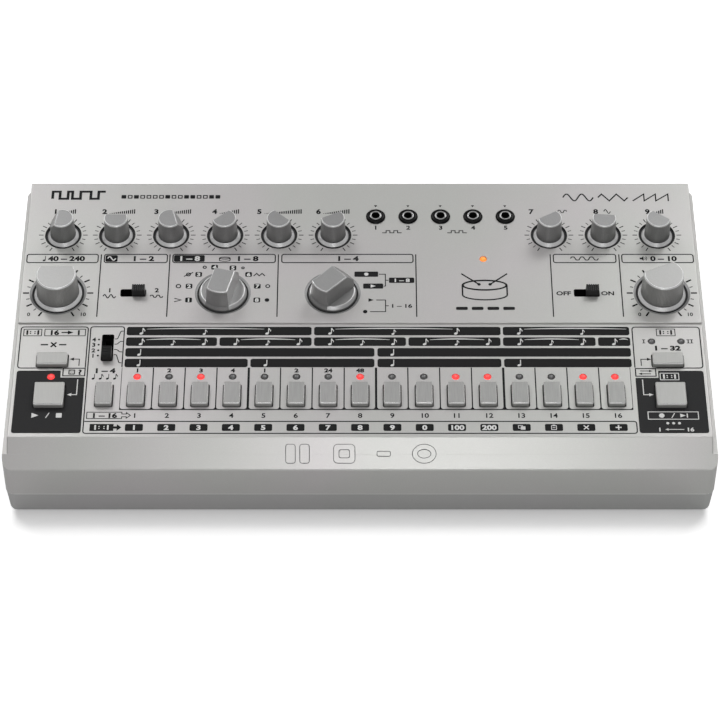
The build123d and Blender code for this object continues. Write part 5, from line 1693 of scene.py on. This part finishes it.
class DRUM_OT_ticks(bpy.types.Operator):
    """Printed ticks round the knobs"""

    bl_idname = "drum.ticks"
    bl_label = "Dial ticks"

    def execute(self, context):
        tree, bm = tick_tree(), bmesh.new()
        for names, values in ((SMALL_KNOBS, SMALL_TICKS), (LARGE_KNOBS, LARGE_TICKS)):
            for spot in map(knob_spot, names):
                mesh = grown(tree, {**DIAL, **values, "Finish": ink()})
                mesh.transform(PANEL @ Matrix.Translation((spot.x, spot.y, HIGH + INK / 2)))
                bm.from_mesh(mesh)
                bpy.data.meshes.remove(mesh)
        put("dial_ticks", mesh_of("dial_ticks", bm), "casing", ink())
        return {"FINISHED"}


class DRUM_OT_bevel_marks(bpy.types.Operator):
    """Plain raised signs on the front bevel, each on a dark plate a little wider than itself: a painted shade line
    round it
    """

    bl_idname = "drum.bevel_marks"
    bl_label = "Bevel marks"

    def execute(self, context):
        slope = math.atan2(BEVEL_DROP, BEVEL_RUN)
        edge = PANEL @ Vector((0, 0, LOW))
        place = Matrix.Translation((0, edge.y, Z_FRONT * MM)) @ Matrix.Rotation(slope, 4, "X")
        place @= Matrix.Scale(MM, 4)
        for name, finish, grow, height in (("bevel_marks", silver(), 0.0, 0.3),
                                           ("bevel_mark_shade", plain("outline_shade_grey"), 0.3, 0.03)):
            bm = bmesh.new()
            for outlines in self.signs(grow):
                slab(bm, outlines, -0.05, height)
            closed_piece(name, bm, finish, place, smooth=30)
        return {"FINISHED"}

    @staticmethod
    def signs(grow):
        """Two upright bars, a block with a window, a dash and a ring, each wider all round by grow."""
        middle, half = -7.2, 3.9
        ring = [disc(27.35, middle, outer, 48, squash) for outer, squash in (
            (4.9 + grow, (half + grow) / (4.9 + grow)), (3.0 - grow, (2.0 - grow) / (3.0 - grow)))]
        window = oblong(-9.1 + grow, middle - 1.9 + grow, -4.3 - grow, middle + 1.9 - grow, 0.8)
        return [*([grown_oblong(u, middle, (1.9, half), grow, 0.9)] for u in (-29.6, -23.6)),
                [grown_oblong(-6.7, middle, (4.4, half), grow, 1.6), window],
                [grown_oblong(10.1, middle, (2.7, 0.9), grow, 0.4)], ring]


# ---------------------------------------------------------------- add-on
class DRUM_PT_panel(bpy.types.Panel):
    """Builds the drum machine's pieces one by one"""

    bl_idname = "DRUM_PT_panel"
    bl_label = "Drum machine"
    bl_space_type = "VIEW_3D"
    bl_region_type = "UI"
    bl_category = "Drum machine"

    def draw(self, context):
        for one in OPERATORS:
            self.layout.operator(one.bl_idname)
        for name in SETTINGS:
            box = self.layout.box()
            for key in getattr(context.scene, name).__annotations__:
                box.prop(getattr(context.scene, name), key)


OPERATORS = (DRUM_OT_stage, DRUM_OT_casing, DRUM_OT_knobs, DRUM_OT_wells, DRUM_OT_buttons, DRUM_OT_lamps,
             DRUM_OT_sockets, DRUM_OT_rear_print, DRUM_OT_front_print, DRUM_OT_back_print, DRUM_OT_ticks,
             DRUM_OT_bevel_marks)
SETTINGS = {"drum_casing": CasingSettings, "drum_knobs": KnobSettings, "drum_print": PrintSettings,
            "drum_lamps": LampSettings, "drum_stage": StageSettings}


def register():
    for one in (*SETTINGS.values(), *OPERATORS, DRUM_PT_panel):
        bpy.utils.register_class(one)
    for name, kind in SETTINGS.items():
        setattr(bpy.types.Scene, name, bpy.props.PointerProperty(type=kind))


def unregister():
    for name in SETTINGS:
        delattr(bpy.types.Scene, name)
    for one in (DRUM_PT_panel, *reversed(OPERATORS), *reversed(SETTINGS.values())):
        bpy.utils.unregister_class(one)


def main():
    register()
    for one in OPERATORS:
        getattr(bpy.ops.drum, one.bl_idname.split(".")[1])()


if __name__ == "__main__":
    main()
